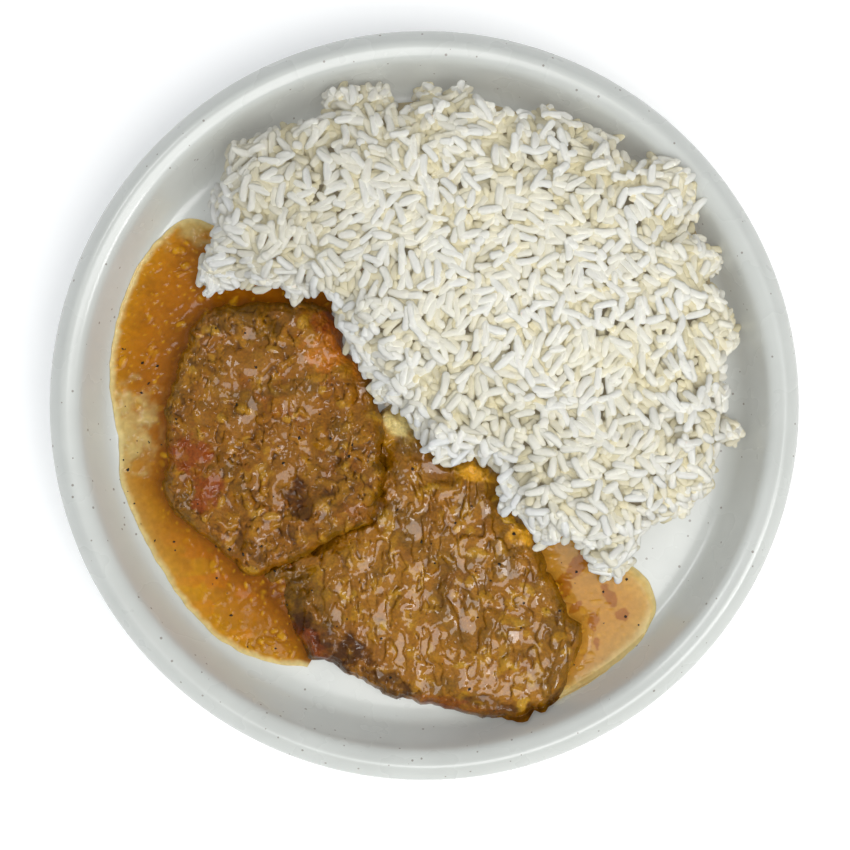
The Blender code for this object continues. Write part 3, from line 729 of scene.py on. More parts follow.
def make_slice(name, side, outline, form, marks, wetness, seed, finish, node):
    """One slice: a square grid bent to the outline and lifted to the form plus the
    sauce's relief, with rings down its side and a closed underside."""
    loop = ragged_loop(outline, OUTLINE_COUNT, seed + 60, 1.8, 1.5)
    raster = raster_of(loop, 3.0)
    distance = np.maximum(loop_distance(raster, loop), 0)
    spots = [(mark, strength * soft_spot(raster, place, size, math.radians(turn), ragged,
                                         seed + 60 + index))
             for index, (mark, place, size, turn, ragged, strength) in enumerate(marks)]
    relief = sauce_relief(raster, loop, distance, seed, spots, **RELIEF_SIZES[side])
    top = form(raster, distance) + relief["height"]
    tint = sauce_tint(raster, relief, distance, spots, seed + 40, MEAT_TONES[side])
    if side == "right":
        top, tint = bridge_groove(raster, top, tint, seed + 30)
    centre = np.array(SLICE_CENTRES[side])
    flat, border = fill_loop(loop, centre, SLICE_GRID)
    upper = np.column_stack([flat, read_raster(top, raster, flat)])
    colours = read_raster(tint, raster, flat)
    dry = sum(spot for mark, spot in spots if mark in ("seared", "red"))
    wet = smooth_step(relief["cavity"], -0.16, 0.0) * (1 - 0.5 * np.clip(dry, 0, 1))
    wet = wetness * read_raster(wet, raster, flat)
    rings, shaded_ring_tints = slice_side(upper[border], colours[border], centre, side)
    points = np.vstack([upper, *rings, rings[-1].mean(0)])
    tints = np.vstack([colours, *shaded_ring_tints, shaded_ring_tints[-1].mean(0)])
    wet = np.concatenate([wet, np.full(len(points) - len(wet), 0.5)])
    count = len(border)
    numbers = [border] + [len(upper) + level * count + np.arange(count)
                          for level in range(len(rings))]
    quads = np.vstack([grid_quads(SLICE_GRID, SLICE_GRID)]
                      + [ring_quads(lower, higher) for higher, lower in zip(numbers, numbers[1:])])
    fan = fan_faces(len(points) - 1, numbers[-1])
    piece = build_mesh(name, points, [quads, fan], tints, wet, len(quads))
    settle(piece, finish, "braised_pork", node)
    return {"raster": raster, "top": top, "loop": loop}


# deep is a darker gravy, laid also as painted shade in the hollows between bits
GRAVY_TONES = {
    "amber": tone(170, 101, 0), "deep": tone(122, 64, 0), "cream": tone(200, 140, 0),
    "pale": tone(214, 178, 96), "blob": tone(154, 90, 0), "thin": tone(222, 200, 138),
    "film": tone(194, 168, 104), "bits": tone(216, 160, 14), "pink": tone(182, 128, 40),
    "oil": tone(192, 104, 0), "brown": tone(116, 66, 0), "tan": tone(142, 88, 4),
}

# Darker amber spots on the right pool: place, half sizes, turn
OIL_SPOTS = [
    ((54.3, -60.5), (5.0, 3.6), 1.2), ((59.5, -57.0), (4.0, 3.0), 0.2),
    ((67.5, -68.5), (5.6, 2.8), 2.2), ((56.5, -73.0), (5.4, 2.0), 0.7),
    ((62.6, -80.0), (7.0, 2.0), 1.4), ((72.3, -76.5), (2.6, 2.2), 0.0),
    ((63.6, -89.0), (3.6, 1.7), 1.7), ((50.8, -67.0), (5.6, 3.2), 2.0),
]


def left_pool(points, shore, food, seed):
    """Where the left pool is full of bits, where it is thin, and the tones laid over it:
    creamy in its calm lower half, tan beside the meat, and pale along its shore."""
    x, y = points[..., 0], points[..., 1]
    near_food = np.exp(-food / FOOD_REACH)
    lower_bits = smooth_step(-y, 46, 62) * smooth_step(x, -88.0, -70.0)
    grainy = np.clip(smooth_step(y, -14.0, 2.0) + lower_bits + 1.3 * near_food, 0, 1)
    thin = soft_spot(points, (-112, -9), (15, 15), 0.9, 1.2, seed + 3, 0.0, 1.5)
    end = soft_spot(points, (-84, 67), (13, 8), 0.3, 1.0, seed + 4, 0.2, 1.3)
    thin = np.maximum(thin, 0.8 * end) * (1 - 0.8 * near_food)
    cloudy = noise(points, 7.0, seed + 2, 3)
    calm = smooth_step(-y, 26, 44) * (1 - lower_bits)
    beside = smooth_step(x, -100, -90) * smooth_step(y, -14, 0) * (1 - smooth_step(y, 26, 36))
    swirl = islands(points, 5.0, seed + 6, 0.56, 0.64, 2) * smooth_step(-y, 40, 55)
    reach = 5.0 + 7.0 * smooth_step(-y, 5.0, 25.0)
    pale_shore = (np.exp(-shore / 3.5) * smooth_step(-y, 2.0, 14.0)
                  * (1 - smooth_step(-y, 40.0, 80.0)))
    return grainy, thin, [
        ("cream", 0.9 * calm * (1 - smooth_step(cloudy, 0.4, 0.75))),
        ("deep", 0.45 * smooth_step(cloudy, 0.45, 0.75) * (1 - calm)),
        ("tan", 0.7 * beside), ("oil", 0.9 * swirl), ("cream", 0.9 * np.exp(-shore / reach)),
        ("film", 0.8 * pale_shore), ("deep", 0.9 * np.exp(-food / 8.0))]


def right_pool(points, shore, food, seed):
    """The same for the right pool: pinkish, with few bits, no thin place, a pale shore and
    amber spots."""
    grainy = np.clip(0.25 + np.exp(-food / FOOD_REACH), 0, 1)
    spots = np.max([soft_spot(points, place, size, turn, 1.9, seed + 20 + index, 0.75, 1.0)
                    for index, (place, size, turn) in enumerate(OIL_SPOTS)], axis=0)
    return grainy, np.zeros(shore.shape), [
        ("pink", 0.9 - 0.4 * smooth_step(-points[..., 1], 86, 98)),
        ("pale", 0.8 * np.exp(-shore / 5.0)), ("blob", 0.95 * spots)]


# Each pool: where its bits and tones lie, how many bits and crumbs, width of its thin shore
POOLS = {"left": (left_pool, 620, 1300, 3.0), "right": (right_pool, 160, 300, 4.4)}


def gravy_surface(points, shore, food, seed, side):
    """Height and colour of a pool: a level sheet with a rounded edge that climbs a little
    where it meets the food, grated bits that stand in it, and thin or thick places."""
    plan, bit_count, crumb_count, thin_shore = POOLS[side]
    grainy, thin, layers = plan(points, shore, food, seed)
    corners = np.array([points[0, 0], points[-1, -1]])
    bits, own = scatter_shreds(points, corners, bit_count, seed, *GRAVY_BIT)
    crumbs, own_crumb = scatter_shreds(points, corners, crumb_count, seed + 1, *GRAVY_CRUMB)
    bits = bits * (0.35 + 0.65 * islands(points, 9.0, seed + 8, 0.35, 0.6, 2))
    relief = grainy * (0.6 * bits + 0.2 * crumbs) + 0.16 * uneven(points, 5.0, seed + 5)
    relief = relief * smooth_step(shore, 0.3, 2.5) * (1 - smooth_step(thin, 0.0, 0.6))
    floor = plate_height(points, 0.1) + 0.05
    level = np.maximum(GRAVY_LEVEL, floor + 0.25)
    rounding = 2.3 * (1 - np.exp(-shore / 1.4)) * (1 - 0.6 * thin)
    climb = 2.4 * np.exp(-food / 2.2) * (1 - thin)
    height = np.minimum(floor + rounding, level) + climb + relief
    patch = np.maximum(smooth_step(bits, 0.25, 0.6) * own,
                       smooth_step(crumbs, 0.3, 0.7) * own_crumb)
    cavity = relief - blur(relief, 0.8, RASTER_STEP)
    ragged = shore + 1.4 * uneven(points, 2.5, seed + 11)
    tint = layered(
        GRAVY_TONES["amber"], GRAVY_TONES, *layers,
        ("brown", 0.3 * np.clip(1.25 * np.exp(-food / FOOD_REACH) - 0.25, 0, 1)),
        ("bits", 0.6 * (grainy * patch)),
        # painted shade in the hollows between the bits
        ("deep", 0.6 * smooth_step(-cavity, 0.03, 0.2)),
        ("film", 0.85 * smooth_step(thin, 0.0, 0.9)),
        ("thin", 0.9 * (1 - smooth_step(ragged, 0.4, thin_shore))))
    return height, tint * (1 + 0.25 * uneven(points, 1.2, seed + 7))[..., None]


def make_pool(name, side, outer_points, inner_points, along, across, seed, food, finish, node):
    """One pool: a grid between its outer edge and a line under the food, and the same
    grid again on the plate's face as its underside."""
    outer = open_curve(outer_points, along)
    inner = open_curve(inner_points, along)
    share = np.linspace(0, 1, across)[:, None, None] ** 1.15
    wobble = 1.3 * uneven(outer, 6.0, seed + 9)
    outward = (outer - inner) / np.linalg.norm(outer - inner, axis=1)[:, None]
    flat = outer + share * (inner - outer) + (1 - share) * (wobble[:, None] * outward)
    rim = flat[0]
    raster = raster_of(flat.reshape(-1, 2), 2.0)
    to_food = np.min([np.maximum(-loop_distance(raster, piece["loop"]), 0) for piece in food],
                     axis=0)
    height, tint = gravy_surface(raster, nearest_on_line(raster, rim[::3]), to_food, seed, side)
    top = np.concatenate([flat, read_raster(height, raster, flat)[..., None]], -1)
    top[0, :, 2] = plate_height(rim, 0.1) + 0.12
    under = np.concatenate([flat, (plate_height(flat) + 0.02)[..., None]], -1)
    points = np.vstack([top.reshape(-1, 3), under.reshape(-1, 3)])
    tints = np.vstack([read_raster(tint, raster, flat).reshape(-1, 3)] * 2)
    size = along * across
    upper = grid_quads(across, along)
    lower = grid_quads(across, along, size)[:, ::-1]
    number = np.arange(size).reshape(across, along)
    border = np.concatenate([number[0, :-1], number[:-1, -1], number[-1, :0:-1], number[:0:-1, 0]])
    faces = np.vstack([upper, lower, ring_quads(border, border + size)])
    if inner[0, 0] > outer[0, 0]:
        faces = faces[:, ::-1]
    piece = build_mesh(name, points, [faces], tints, flat_from=len(upper))
    settle(piece, finish, "gravy", node)
    closed = counter_clockwise(np.vstack([rim, inner[::-1]]))
    return {"raster": raster, "top": height, "loop": closed}


def nearest_on_line(points, line):
    """Distance from each point to the nearest point of an open line."""
    coarse = raster_of(points.reshape(-1, 2), 2.0, 0.8)
    flat = coarse.reshape(-1, 2)
    dense = even_points(line, 3 * len(line))
    found = [np.sqrt(((block[:, None] - dense) ** 2).sum(2).min(1))
             for block in np.array_split(flat, max(1, len(flat) // 8000))]
    return read_raster(np.concatenate(found).reshape(coarse.shape[:-1]), coarse, points)


def heap_form(points, loop):
    """Top of the rice heap: a steep edge that levels off, with clumps, as in the solid."""
    distance = np.maximum(loop_distance(points, loop), 0)
    rise = HEAP_EDGE + (HEAP_PEAK - HEAP_EDGE) * (1 - np.exp(-distance / HEAP_REACH))
    clumps = CLUMP_HEIGHT * waves(points, RICE_SEED, 16.0, 42.0) * np.clip(distance / 8.0, 0, 1)
    return WELL_HEIGHT + rise + clumps


# The deep, pit_shade and cool_shade tones are painted shade
RICE_TONES = {
    "white": tone(232, 232, 226), "warm": tone(230, 226, 206), "deep": tone(218, 206, 160),
    "pit_shade": tone(150, 122, 58), "soaked": tone(206, 160, 86), "cool_shade": tone(222, 226, 230),
    "gravy": tone(176, 116, 20),
}


def make_rice_core(loop, area, bed, finish):
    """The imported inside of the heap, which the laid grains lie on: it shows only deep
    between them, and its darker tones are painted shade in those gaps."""
    flat, border = fill_loop(loop, np.array(RICE_CENTRE), CORE_GRID)
    height = read_raster(bed, area, flat) + 0.6 + 0.8 * uneven(flat, 1.8, 71)
    upper = np.column_stack([flat, np.maximum(height, plate_height(flat, 0.6) + 0.8)])
    ring = np.column_stack([flat[border], foot_height(flat[border])])
    points = np.vstack([upper, ring, [[*RICE_CENTRE, WELL_HEIGHT + 0.1]]])
    lower = len(upper) + np.arange(len(border))
    places = points[:, :2]
    # painted shade: darker tones for the gaps between grains
    tints = layered(RICE_TONES["deep"], RICE_TONES,
                    ("pit_shade", 0.5 + 0.5 * noise(places, 4.0, 73, 2)),
                    ("gravy", soft_spot(places, (-52, 48), (30, 13), 0.15, 1.0, 74)))
    tints = tints * (0.85 + 0.3 * noise(places, 2.2, 72, 2))[:, None]
    quads = np.vstack([grid_quads(CORE_GRID, CORE_GRID), ring_quads(lower, border)])
    piece = build_mesh("rice_core", points, [quads, fan_faces(len(points) - 1, lower)], tints)
    settle(piece, finish, "boiled_rice", "rice")


def clump_cells(area, count, seed):
    """Uneven cells round scattered points: the distance from each place to the nearest
    point, how much further off the next one is, and the nearest one's number."""
    centres = np.random.default_rng(seed).uniform(area[0, 0], area[-1, -1], (count, 2))
    flat = (area + 5.0 * warp(area, seed)).reshape(-1, 2)
    found = []
    for block in np.array_split(flat, 60):
        reach = np.sqrt(((block[:, None] - centres) ** 2).sum(2))
        nearest = reach.argmin(1)
        two = np.partition(reach, 1, axis=1)[:, :2]
        found.append(np.column_stack([two[:, 0], two[:, 1] - two[:, 0], nearest]))
    first, gap, number = np.concatenate(found).T.reshape(3, *area.shape[:2])
    return first, gap, number.astype(int)


def heap_surfaces(area, core_loop, floors, reach, gap):
    """Rasters for laying grains: what lies under the rice, the height it should reach,
    and the distance in from the heap's edge. Each clump is a low dome with a crevice
    round it."""
    under = plate_height(area)
    near_food = np.zeros(under.shape)
    for piece in floors:
        beyond = -loop_distance(area, piece["loop"])
        level = read_raster(piece["top"], piece["raster"], area)
        under = np.where(beyond < 0, np.maximum(under, level), under)
        near_food = np.maximum(near_food, 1 - smooth_step(beyond, 1.0, 6.0))
    inward = signed_distance(area, np.array(RICE_EDGE, float)) + 1.2 * near_food
    dome = np.clip(1 - (reach / 7.0) ** 2, -0.6, 1)
    clumps = ROLL_HEIGHT * uneven(area, 14.0, 83) + DOME_HEIGHT * dome
    crevice = np.exp(-gap / 1.2) * islands(area, 10.0, 86, 0.25, 0.6, 1)
    form = heap_form(area, core_loop) - GRAIN_ROOM + clumps - CREVICE_DEPTH * crevice
    beside = np.maximum(under, blur(under, 4.0, HEAP_STEP) - 1.0)
    fringe = beside + FRINGE_HEIGHT * smooth_step(inward, -1.0, 4.0)
    inside_core = loop_distance(area, core_loop) > 0
    target = np.where(inside_core, np.maximum(form, fringe), fringe)
    surface = np.where(inside_core, np.maximum(under, form - LAYER_DEPTH), under)
    return surface, np.minimum(target, HEAP_CEILING - 2.0), inward


def footprint(area, place, turn, length, width):
    """The raster window under a lying grain, the distance along it, and its rounded
    outline: |2 along / length|^3 + (2 aside / width)^2, which is 1 at the edge."""
    half = 0.5 * length
    first = np.maximum(((place - half - area[0, 0]) / HEAP_STEP).astype(int), 0)
    last = ((place + half - area[0, 0]) / HEAP_STEP).astype(int) + 2
    window = (slice(first[0], last[0]), slice(first[1], last[1]))
    along, aside = turned(area[window] - place, turn)
    return window, along, np.abs(along / half) ** 3 + (2 * aside / width) ** 2


def lay_row(heap, place, turn, count, firm, shade, draw):
    """Lay grains side by side: each tips to rest on what lies under its two halves, the
    firmer the less it sinks in, is partly levelled with its neighbours, and raises the
    surface for the next. A grain's row holds x, y, height, turn, slope, length, width,
    thickness, bend, the phase of its taper, and shade."""
    area, surface, inward = heap["area"], heap["surface"], heap["inward"]
    heading = np.array([math.cos(turn), math.sin(turn)])
    side = np.array([-heading[1], heading[0]])
    fan = draw.normal(0, 0.09)
    found = []
    for index in np.arange(count) - 0.5 * (count - 1):
        aside = GRAIN_SPACING * GRAIN_WIDTH * index + draw.normal(0, 0.3)
        spot = place + aside * side + draw.normal(0, 1.8 if count > 1 else 0.3) * heading
        cell = tuple(((spot - area[0, 0]) / HEAP_STEP).astype(int))
        if min(cell) < 0 or max(np.subtract(cell, inward.shape)) >= 0 or inward[cell] < 1.6:
            continue
        length = np.clip(draw.normal(GRAIN_LENGTH, 1.0), 3.8, 10.2)
        if draw.random() < SHORT_SHARE:
            length = draw.uniform(3.6, 5.6)
        width = draw.normal(GRAIN_WIDTH, 0.22)
        own_turn = turn + fan * index + draw.normal(0, 0.22)
        window, along, outline = footprint(area, spot, own_turn, length, width)
        halves = [surface[window][(outline < 0.8) & half] for half in (along < 0, along >= 0)]
        back, front = (firm * half.max() + (1 - firm) * half.mean() for half in halves)
        found.append([*spot, 0.5 * (back + front), own_turn, 2 * (front - back) / length,
                      length, width, index])
    if not found:
        return []
    found = np.array(found)
    height, slope, number = found[:, 2], found[:, 4], found[:, 7]
    across = number - number.mean()
    rise = (across * height).sum() / max((across ** 2).sum(), 1.0)
    height[:] = 0.4 * height + 0.6 * (height.mean() + rise * across)
    lean = draw.normal(0, 0.15) if draw.random() > 0.1 else draw.uniform(-0.9, 0.9)
    lift = 1.3 * draw.random() ** 2 if count > 1 else 0.0
    slope[:] = 0.4 * slope + 0.6 * slope.mean() + lean
    laid = []
    for x, y, base, own_turn, slope, length, width, _ in found:
        slope = float(np.clip(slope, -1.2, 1.2))
        thick = GRAIN_FLATNESS * width
        middle = base + 0.2 * thick + 0.3 * abs(lean) * length + lift + draw.normal(0, 0.2)
        window, along, outline = footprint(area, np.array([x, y]), own_turn, length, width)
        shell = middle + slope * along + 0.5 * thick * np.sqrt(np.clip(1 - outline, 0, 1))
        covered = outline < 1
        if shell[covered].max() > HEAP_CEILING:
            continue
        surface[window] = np.where(covered, np.maximum(surface[window], shell), surface[window])
        heap["turns"][window] = np.where(covered, own_turn, heap["turns"][window])
        laid.append((x, y, middle, own_turn, slope, length, width, thick,
                     draw.uniform(-0.08, 0.08), draw.random(), shade))
    return laid


def lay_grains(area, surface, target, inward, cell):
    """Lay boiled grains clump by clump where the heap is furthest below its form: up to
    four rows of grains that lie much the same way stick together. Single ones then fill
    the gaps left. Returns one row for each grain that shows, its depth in the heap and how
    far in it lies."""
    draw = np.random.default_rng(RICE_SEED + 5)
    spots = np.argwhere(inward > 1.7)
    own_turn = draw.uniform(0, FULL_TURN, CLUMP_COUNT)[cell]
    own_shade = draw.random(CLUMP_COUNT)[cell]
    heap = {"area": area, "surface": surface, "inward": inward, "turns": own_turn.copy()}
    rows = []
    for _ in range(CLUMP_TRIES):
        tries = spots[draw.integers(0, len(spots), 12)]
        need = (target - surface)[tries[:, 0], tries[:, 1]] + draw.uniform(-0.5, 0.5, 12)
        if need.max() < -0.9:
            continue
        best = tuple(tries[np.argmax(need)])
        place = area[best] + draw.uniform(-0.25, 0.25, 2)
        stray = draw.random() < 0.2
        turn = own_turn[best] + draw.normal(0, 2.0 if stray else 0.3)
        heading = np.array([math.cos(turn), math.sin(turn)])
        for _ in range(draw.choice(CLUMP_ROWS, p=CLUMP_SHARES)):
            ahead, beside = draw.normal(0, 3.4), draw.normal(0, 2.0)
            spot = place + ahead * heading + beside * heading[::-1] * (-1, 1)
            rows += lay_row(heap, spot, turn + draw.normal(0, 0.3), draw.integers(1, 6),
                            CLUMP_FIRMNESS, own_shade[best], draw)
    for _ in range(FILL_ROUNDS):
        sunk = (blur(surface, 1.6, HEAP_STEP) - surface)[spots[:, 0], spots[:, 1]]
        deepest = draw.permutation(np.argsort(-sunk)[:FILL_CHOICE])[:FILL_BATCH]
        for best in map(tuple, spots[deepest]):
            turn = heap["turns"][best] + draw.normal(0, 0.5)
            rows += lay_row(heap, area[best], turn, 1, FILL_FIRMNESS, own_shade[best], draw)
    rows = np.array(rows)
    cells = tuple(((rows[:, :2] - area[0, 0]) / HEAP_STEP).astype(int).T)
    seen = surface[cells] - rows[:, 2] < SEEN_DEPTH
    depth = blur(surface, 2.0, HEAP_STEP)[cells] - rows[:, 2]
    return rows[seen], depth[seen], inward[cells][seen]


def side_grains(area, bed, surface):
    """Grains at the heap's rim, from what is under it up to the laid ones: each lies
    along the rim at its own slope."""
    draw = np.random.default_rng(RICE_SEED + 7)
    edge = counter_clockwise(np.array(RICE_EDGE, float))
    edge = even_points(np.vstack([edge, edge[:1]]), SIDE_COUNT + 1)
    ahead = np.diff(edge, axis=0)
    along = np.arctan2(ahead[:, 1], ahead[:, 0])
    deep = 3.3 + 3.2 * draw.random(SIDE_COUNT)
    place = edge[:-1] + deep[:, None] * np.column_stack([-np.sin(along), np.cos(along)])
    floor = read_raster(bed, area, place) + 1.0
    top = read_raster(surface, area, place) - 1.6
    width = draw.normal(GRAIN_WIDTH, 0.22, SIDE_COUNT)
    rows = np.column_stack([
        place, floor + draw.random(SIDE_COUNT) * np.maximum(top - floor, 0.0),
        along + draw.normal(0, 0.5, SIDE_COUNT), np.tan(draw.uniform(-0.55, 0.55, SIDE_COUNT)),
        draw.normal(GRAIN_LENGTH - 0.8, 0.8, SIDE_COUNT), width, GRAIN_FLATNESS * width,
        draw.uniform(-0.08, 0.08, SIDE_COUNT), draw.random(SIDE_COUNT), draw.random(SIDE_COUNT)])
    inward = signed_distance(place, edge[:-1])
    on_food = floor - plate_height(place) > 3.6
    kept = (top > floor + 0.7) & (inward > np.where(on_food, 4.4, 3.0))
    return rows[kept], draw.uniform(0.0, 1.6, kept.sum()), inward[kept]


def grain_cloud(rows, sides=6):
    """Points and faces of many grains at once. Along a grain from -1 to 1 its girth is
    (1 - s^6)^0.5, its middle bends by (1 - s^2), and its ends are single points."""
    _, _, _, turn, slope, length, width, thick, bend, phase, _ = rows.T
    tip = 1 / np.sqrt(1 + slope ** 2)
    heading = np.column_stack([np.cos(turn) * tip, np.sin(turn) * tip, slope * tip])
    side = np.column_stack([-np.sin(turn), np.cos(turn), np.zeros(len(rows))])
    up = np.cross(heading, side)
    stations = np.array([-0.95, -0.72, -0.1, 0.62, 0.93])
    girth = (1 - stations ** 6) ** 0.5
    around = np.arange(sides) * FULL_TURN / sides

    def along_at(share):
        """Points of every grain's bent axis at the given shares of its half length."""
        spine = share[None, :, None] * (0.5 * length)[:, None, None] * heading[:, None]
        bow = (1 - share ** 2)[None, :, None] * (bend * length)[:, None, None] * side[:, None]
        return rows[:, None, :3] + spine + bow

    def girdle(size, shape, axis):
        """Part of every grain's ring that lies along one of its axes."""
        return 0.5 * size[:, None, None, None] * shape[:, None] * axis[:, None, None]

    across = girdle(width, np.cos(around), side) + girdle(thick, np.sin(around), up)
    lean = 1 + 0.13 * np.sin(3 * stations + FULL_TURN * phase[:, None])
    rings = along_at(stations)[:, :, None] + (girth * lean)[..., None, None] * across
    count = len(stations) * sides
    ends = along_at(np.array([-1.0, 1.0]))
    points = np.concatenate([rings.reshape(len(rows), count, 3), ends], 1)
    lower = (np.arange(len(stations) - 1)[:, None] * sides + np.arange(sides)).ravel()
    ahead = lower + 1 - sides * (lower % sides == sides - 1)
    quads = np.column_stack([lower, ahead, ahead + sides, lower + sides])
    caps = np.vstack([fan_faces(count, np.arange(sides)),
                      fan_faces(count + 1, np.arange(count - sides, count))[:, [0, 2, 1]]])
    start = (np.arange(len(rows)) * (count + 2))[:, None, None]
    return (points.reshape(-1, 3), (quads + start).reshape(-1, 4),
            (caps + start).reshape(-1, 3), count + 2)


def grain_tints(rows, depth, inward):
    """Colour of each grain: white on top, warmer and darker by painted shade the deeper it
    lies, a painted cool shade towards the meat, painted shade that darkens it to the left
    and the near side, and stained where gravy reaches it."""
    draw = np.random.default_rng(RICE_SEED + 9)
    x, y, height, shade = rows[:, 0], rows[:, 1], rows[:, 2], rows[:, 10]
    warm = islands(rows[:, :2], 16.0, 91, 0.3, 0.7, 2)
    meatward = smooth_step(-x - y, -34, 0) * (1 - smooth_step(inward, 4, 14))
    tint = layered(RICE_TONES["white"], RICE_TONES, ("warm", 0.8 * warm * shade),
                   # painted shade on buried grains, and a painted cool shade towards the meat
                   ("deep", 0.85 * smooth_step(depth, 0.3, 2.6)),
                   ("cool_shade", 0.8 * meatward * draw.random(len(rows))))
    # painted shade: darker to the left and to the near side
    tint = tint * (1 - 0.16 * smooth_step(-x, -10, 50))[:, None]
    tint = tint * (1 - 0.08 * smooth_step(-y, -20, 10))[:, None]
    low = (1 - smooth_step(height, 11.0, 14.0)) * (1 - smooth_step(inward, 3, 6))
    stained = 0.5 * low * meatward * draw.random(len(rows))
    tint = layered(tint, RICE_TONES, ("soaked", stained))
    return tint * (0.95 + 0.03 * draw.random(len(rows)) + 0.04 * shade)[:, None]


def make_rice(finish, floors):
    """The heap: its core, and the laid and rim grains in three pieces by their height."""
    outline = counter_clockwise(closed_curve(RICE_OUTLINE, 240))
    area = raster_of(np.array(RICE_EDGE, float), 8.0, HEAP_STEP)
    reach, gap, cell = clump_cells(area, CLUMP_COUNT, 87)
    surface, target, inward = heap_surfaces(area, inset(outline, GRAIN_OVERHANG), floors, reach,
                                            gap)
    make_rice_core(inset(outline, CORE_OVERHANG), area, surface, finish)
    bed = surface.copy()
    laid = lay_grains(area, surface, target, inward, cell)
    beside = side_grains(area, bed, surface)
    rows, depth, inward = (np.concatenate(pair) for pair in zip(laid, beside))
    tints = grain_tints(rows, depth, inward)
    order = np.argsort(rows[:, 2])
    for name, part in zip(("rice_grains_low", "rice_grains_middle", "rice_grains_high"),
                          np.array_split(order, 3)):
        points, quads, caps, each = grain_cloud(rows[part])
        piece = build_mesh(name, points, [quads, caps], np.repeat(tints[part], each, 0))
        settle(piece, finish, "boiled_rice", "rice")


PEPPER_SEEN = [
    (-103.6, 15.8), (-98.1, 14.7), (-104.0, 4.8), (-109.0, -23.6), (-34.0, -12.0), (3.8, -57.0),
    (11.2, -42.5), (24.0, -63.5), (36.0, -71.6), (49.2, -74.5), (47.0, -108.0), (-59.0, -51.0),
    (-65.6, -54.0), (-64.8, -61.5), (-64.5, -97.0), (-71.0, -77.0), (-92.0, -50.0), (56.0, -61.0),
    (74.4, -63.7), (78.8, -80.5), (74.0, -77.5),
]


def pepper_places(surfaces):
    """Chips seen in the picture, and a scatter of small ones over meat and gravy."""
    draw = np.random.default_rng(33)
    flat = np.vstack([PEPPER_SEEN, draw.uniform((-114, -112), (84, 60), (190, 2))])
    placed = []
    for surface in surfaces:
        inside = signed_distance(flat, surface["loop"][::2]) > 1.5
        level = read_raster(surface["top"], surface["raster"], flat)
        placed.append(np.where(inside, level, -1.0))
    height = np.max(placed, axis=0)
    return np.column_stack([flat, height + 0.05])[height > 0]


def make_pepper(finish, places):
    """Black pepper: eight-sided chips, each a pushed octahedron lying on the food."""
    draw = np.random.default_rng(31)
    corners = np.vstack([np.eye(3), -np.eye(3)])[[0, 3, 1, 4, 2, 5]]
    sides = np.array([(0, 2, 4), (2, 1, 4), (1, 3, 4), (3, 0, 4), (2, 0, 5), (1, 2, 5), (3, 1, 5),
                      (0, 3, 5)])
    count = len(places)
    size = 0.2 + 0.55 * draw.random((count, 1, 1)) ** 2
    size[:len(PEPPER_SEEN)] = 0.62
    size = size * draw.uniform(0.6, 1.3, (count, 1, 3)) * (1, 1, 0.6)
    chips = corners * size * draw.uniform(0.7, 1.3, (count, 6, 1))
    turn = draw.uniform(0, FULL_TURN, count)[:, None]
    x, y, z = chips[..., 0], chips[..., 1], chips[..., 2]
    spun = np.stack([x * np.cos(turn) - y * np.sin(turn), x * np.sin(turn) + y * np.cos(turn), z],
                    -1)
    points = (spun + places[:, None]).reshape(-1, 3)
    faces = (sides + (np.arange(count) * 6)[:, None, None]).reshape(-1, 3)
    tints = np.repeat(draw.uniform(0.4, 1.6, count), 6)[:, None] * tone(34, 26, 18)
    settle(build_mesh("pepper_chips", points, [faces], tints), finish, "braised_pork")


def feed(tree, node, inputs):
    """Give a node's inputs their values: a link from another node's output, or a constant."""
    for label, value in inputs.items():
        if isinstance(value, bpy.types.NodeSocket):
            tree.links.new(value, node.inputs[label])
        else:
            node.inputs[label].default_value = value


def add_node(tree, kind, inputs, **settings):
    """A shader node with its settings and inputs. Returns its outputs by name."""
    node = tree.nodes.new("ShaderNode" + kind)
    for label, value in settings.items():
        setattr(node, label, value)
    feed(tree, node, inputs)
    return node.outputs


def new_group(name, inputs, output):
    """Start a shader node group with named inputs and one value as its output. Returns
    the group, its inputs by name and the node that takes the result."""
    group = bpy.data.node_groups.new(name, "ShaderNodeTree")
    for label, value in inputs.items():
        socket = group.interface.new_socket(label, in_out="INPUT", socket_type="NodeSocketFloat")
        socket.default_value = value
    group.interface.new_socket(output, in_out="OUTPUT", socket_type="NodeSocketFloat")
    return group, group.nodes.new("NodeGroupInput").outputs, group.nodes.new("NodeGroupOutput")


def mottle_group():
    """Uneven value: noise of a given scale, spread between a low and a high value."""
    group, given, result = new_group(
        "uneven_value", {"Scale": 300.0, "Detail": 3.0, "Low": 0.0, "High": 1.0}, "Value")
    place = add_node(group, "TexCoord", {})
    pattern = add_node(group, "TexNoise", {"Vector": place["Object"], "Scale": given["Scale"],
                                           "Detail": given["Detail"]})
    spread = add_node(group, "MapRange", {"Value": pattern["Fac"], "From Min": 0.3,
                                          "From Max": 0.7, "To Min": given["Low"],
                                          "To Max": given["High"]})
    feed(group, result, {"Value": spread["Result"]})
    return group


def speck_group():
    """Mask of fine dots: close to the seeds of a cell pattern, of uneven size."""
    group, given, result = new_group("fine_specks", {"Scale": 260.0, "Size": 0.1}, "Mask")
    place = add_node(group, "TexCoord", {})
    cells = add_node(group, "TexVoronoi", {"Vector": place["Object"], "Scale": given["Scale"]})
    part = add_node(group, "SeparateColor", {"Color": cells["Color"]})
    size = add_node(group, "Math", {0: part["Red"], 1: given["Size"]}, operation="MULTIPLY")
    mask = add_node(group, "Math", {0: cells["Distance"], 1: size["Value"]},
                    operation="LESS_THAN")
    feed(group, result, {"Mask": mask["Value"]})
    return group


GROUPS = {"mottle": mottle_group(), "specks": speck_group()}


def add_group(tree, name, **values):
    """One of the shared groups with its inputs set. Returns its only output."""
    return add_node(tree, "Group", values, node_tree=GROUPS[name])[0]


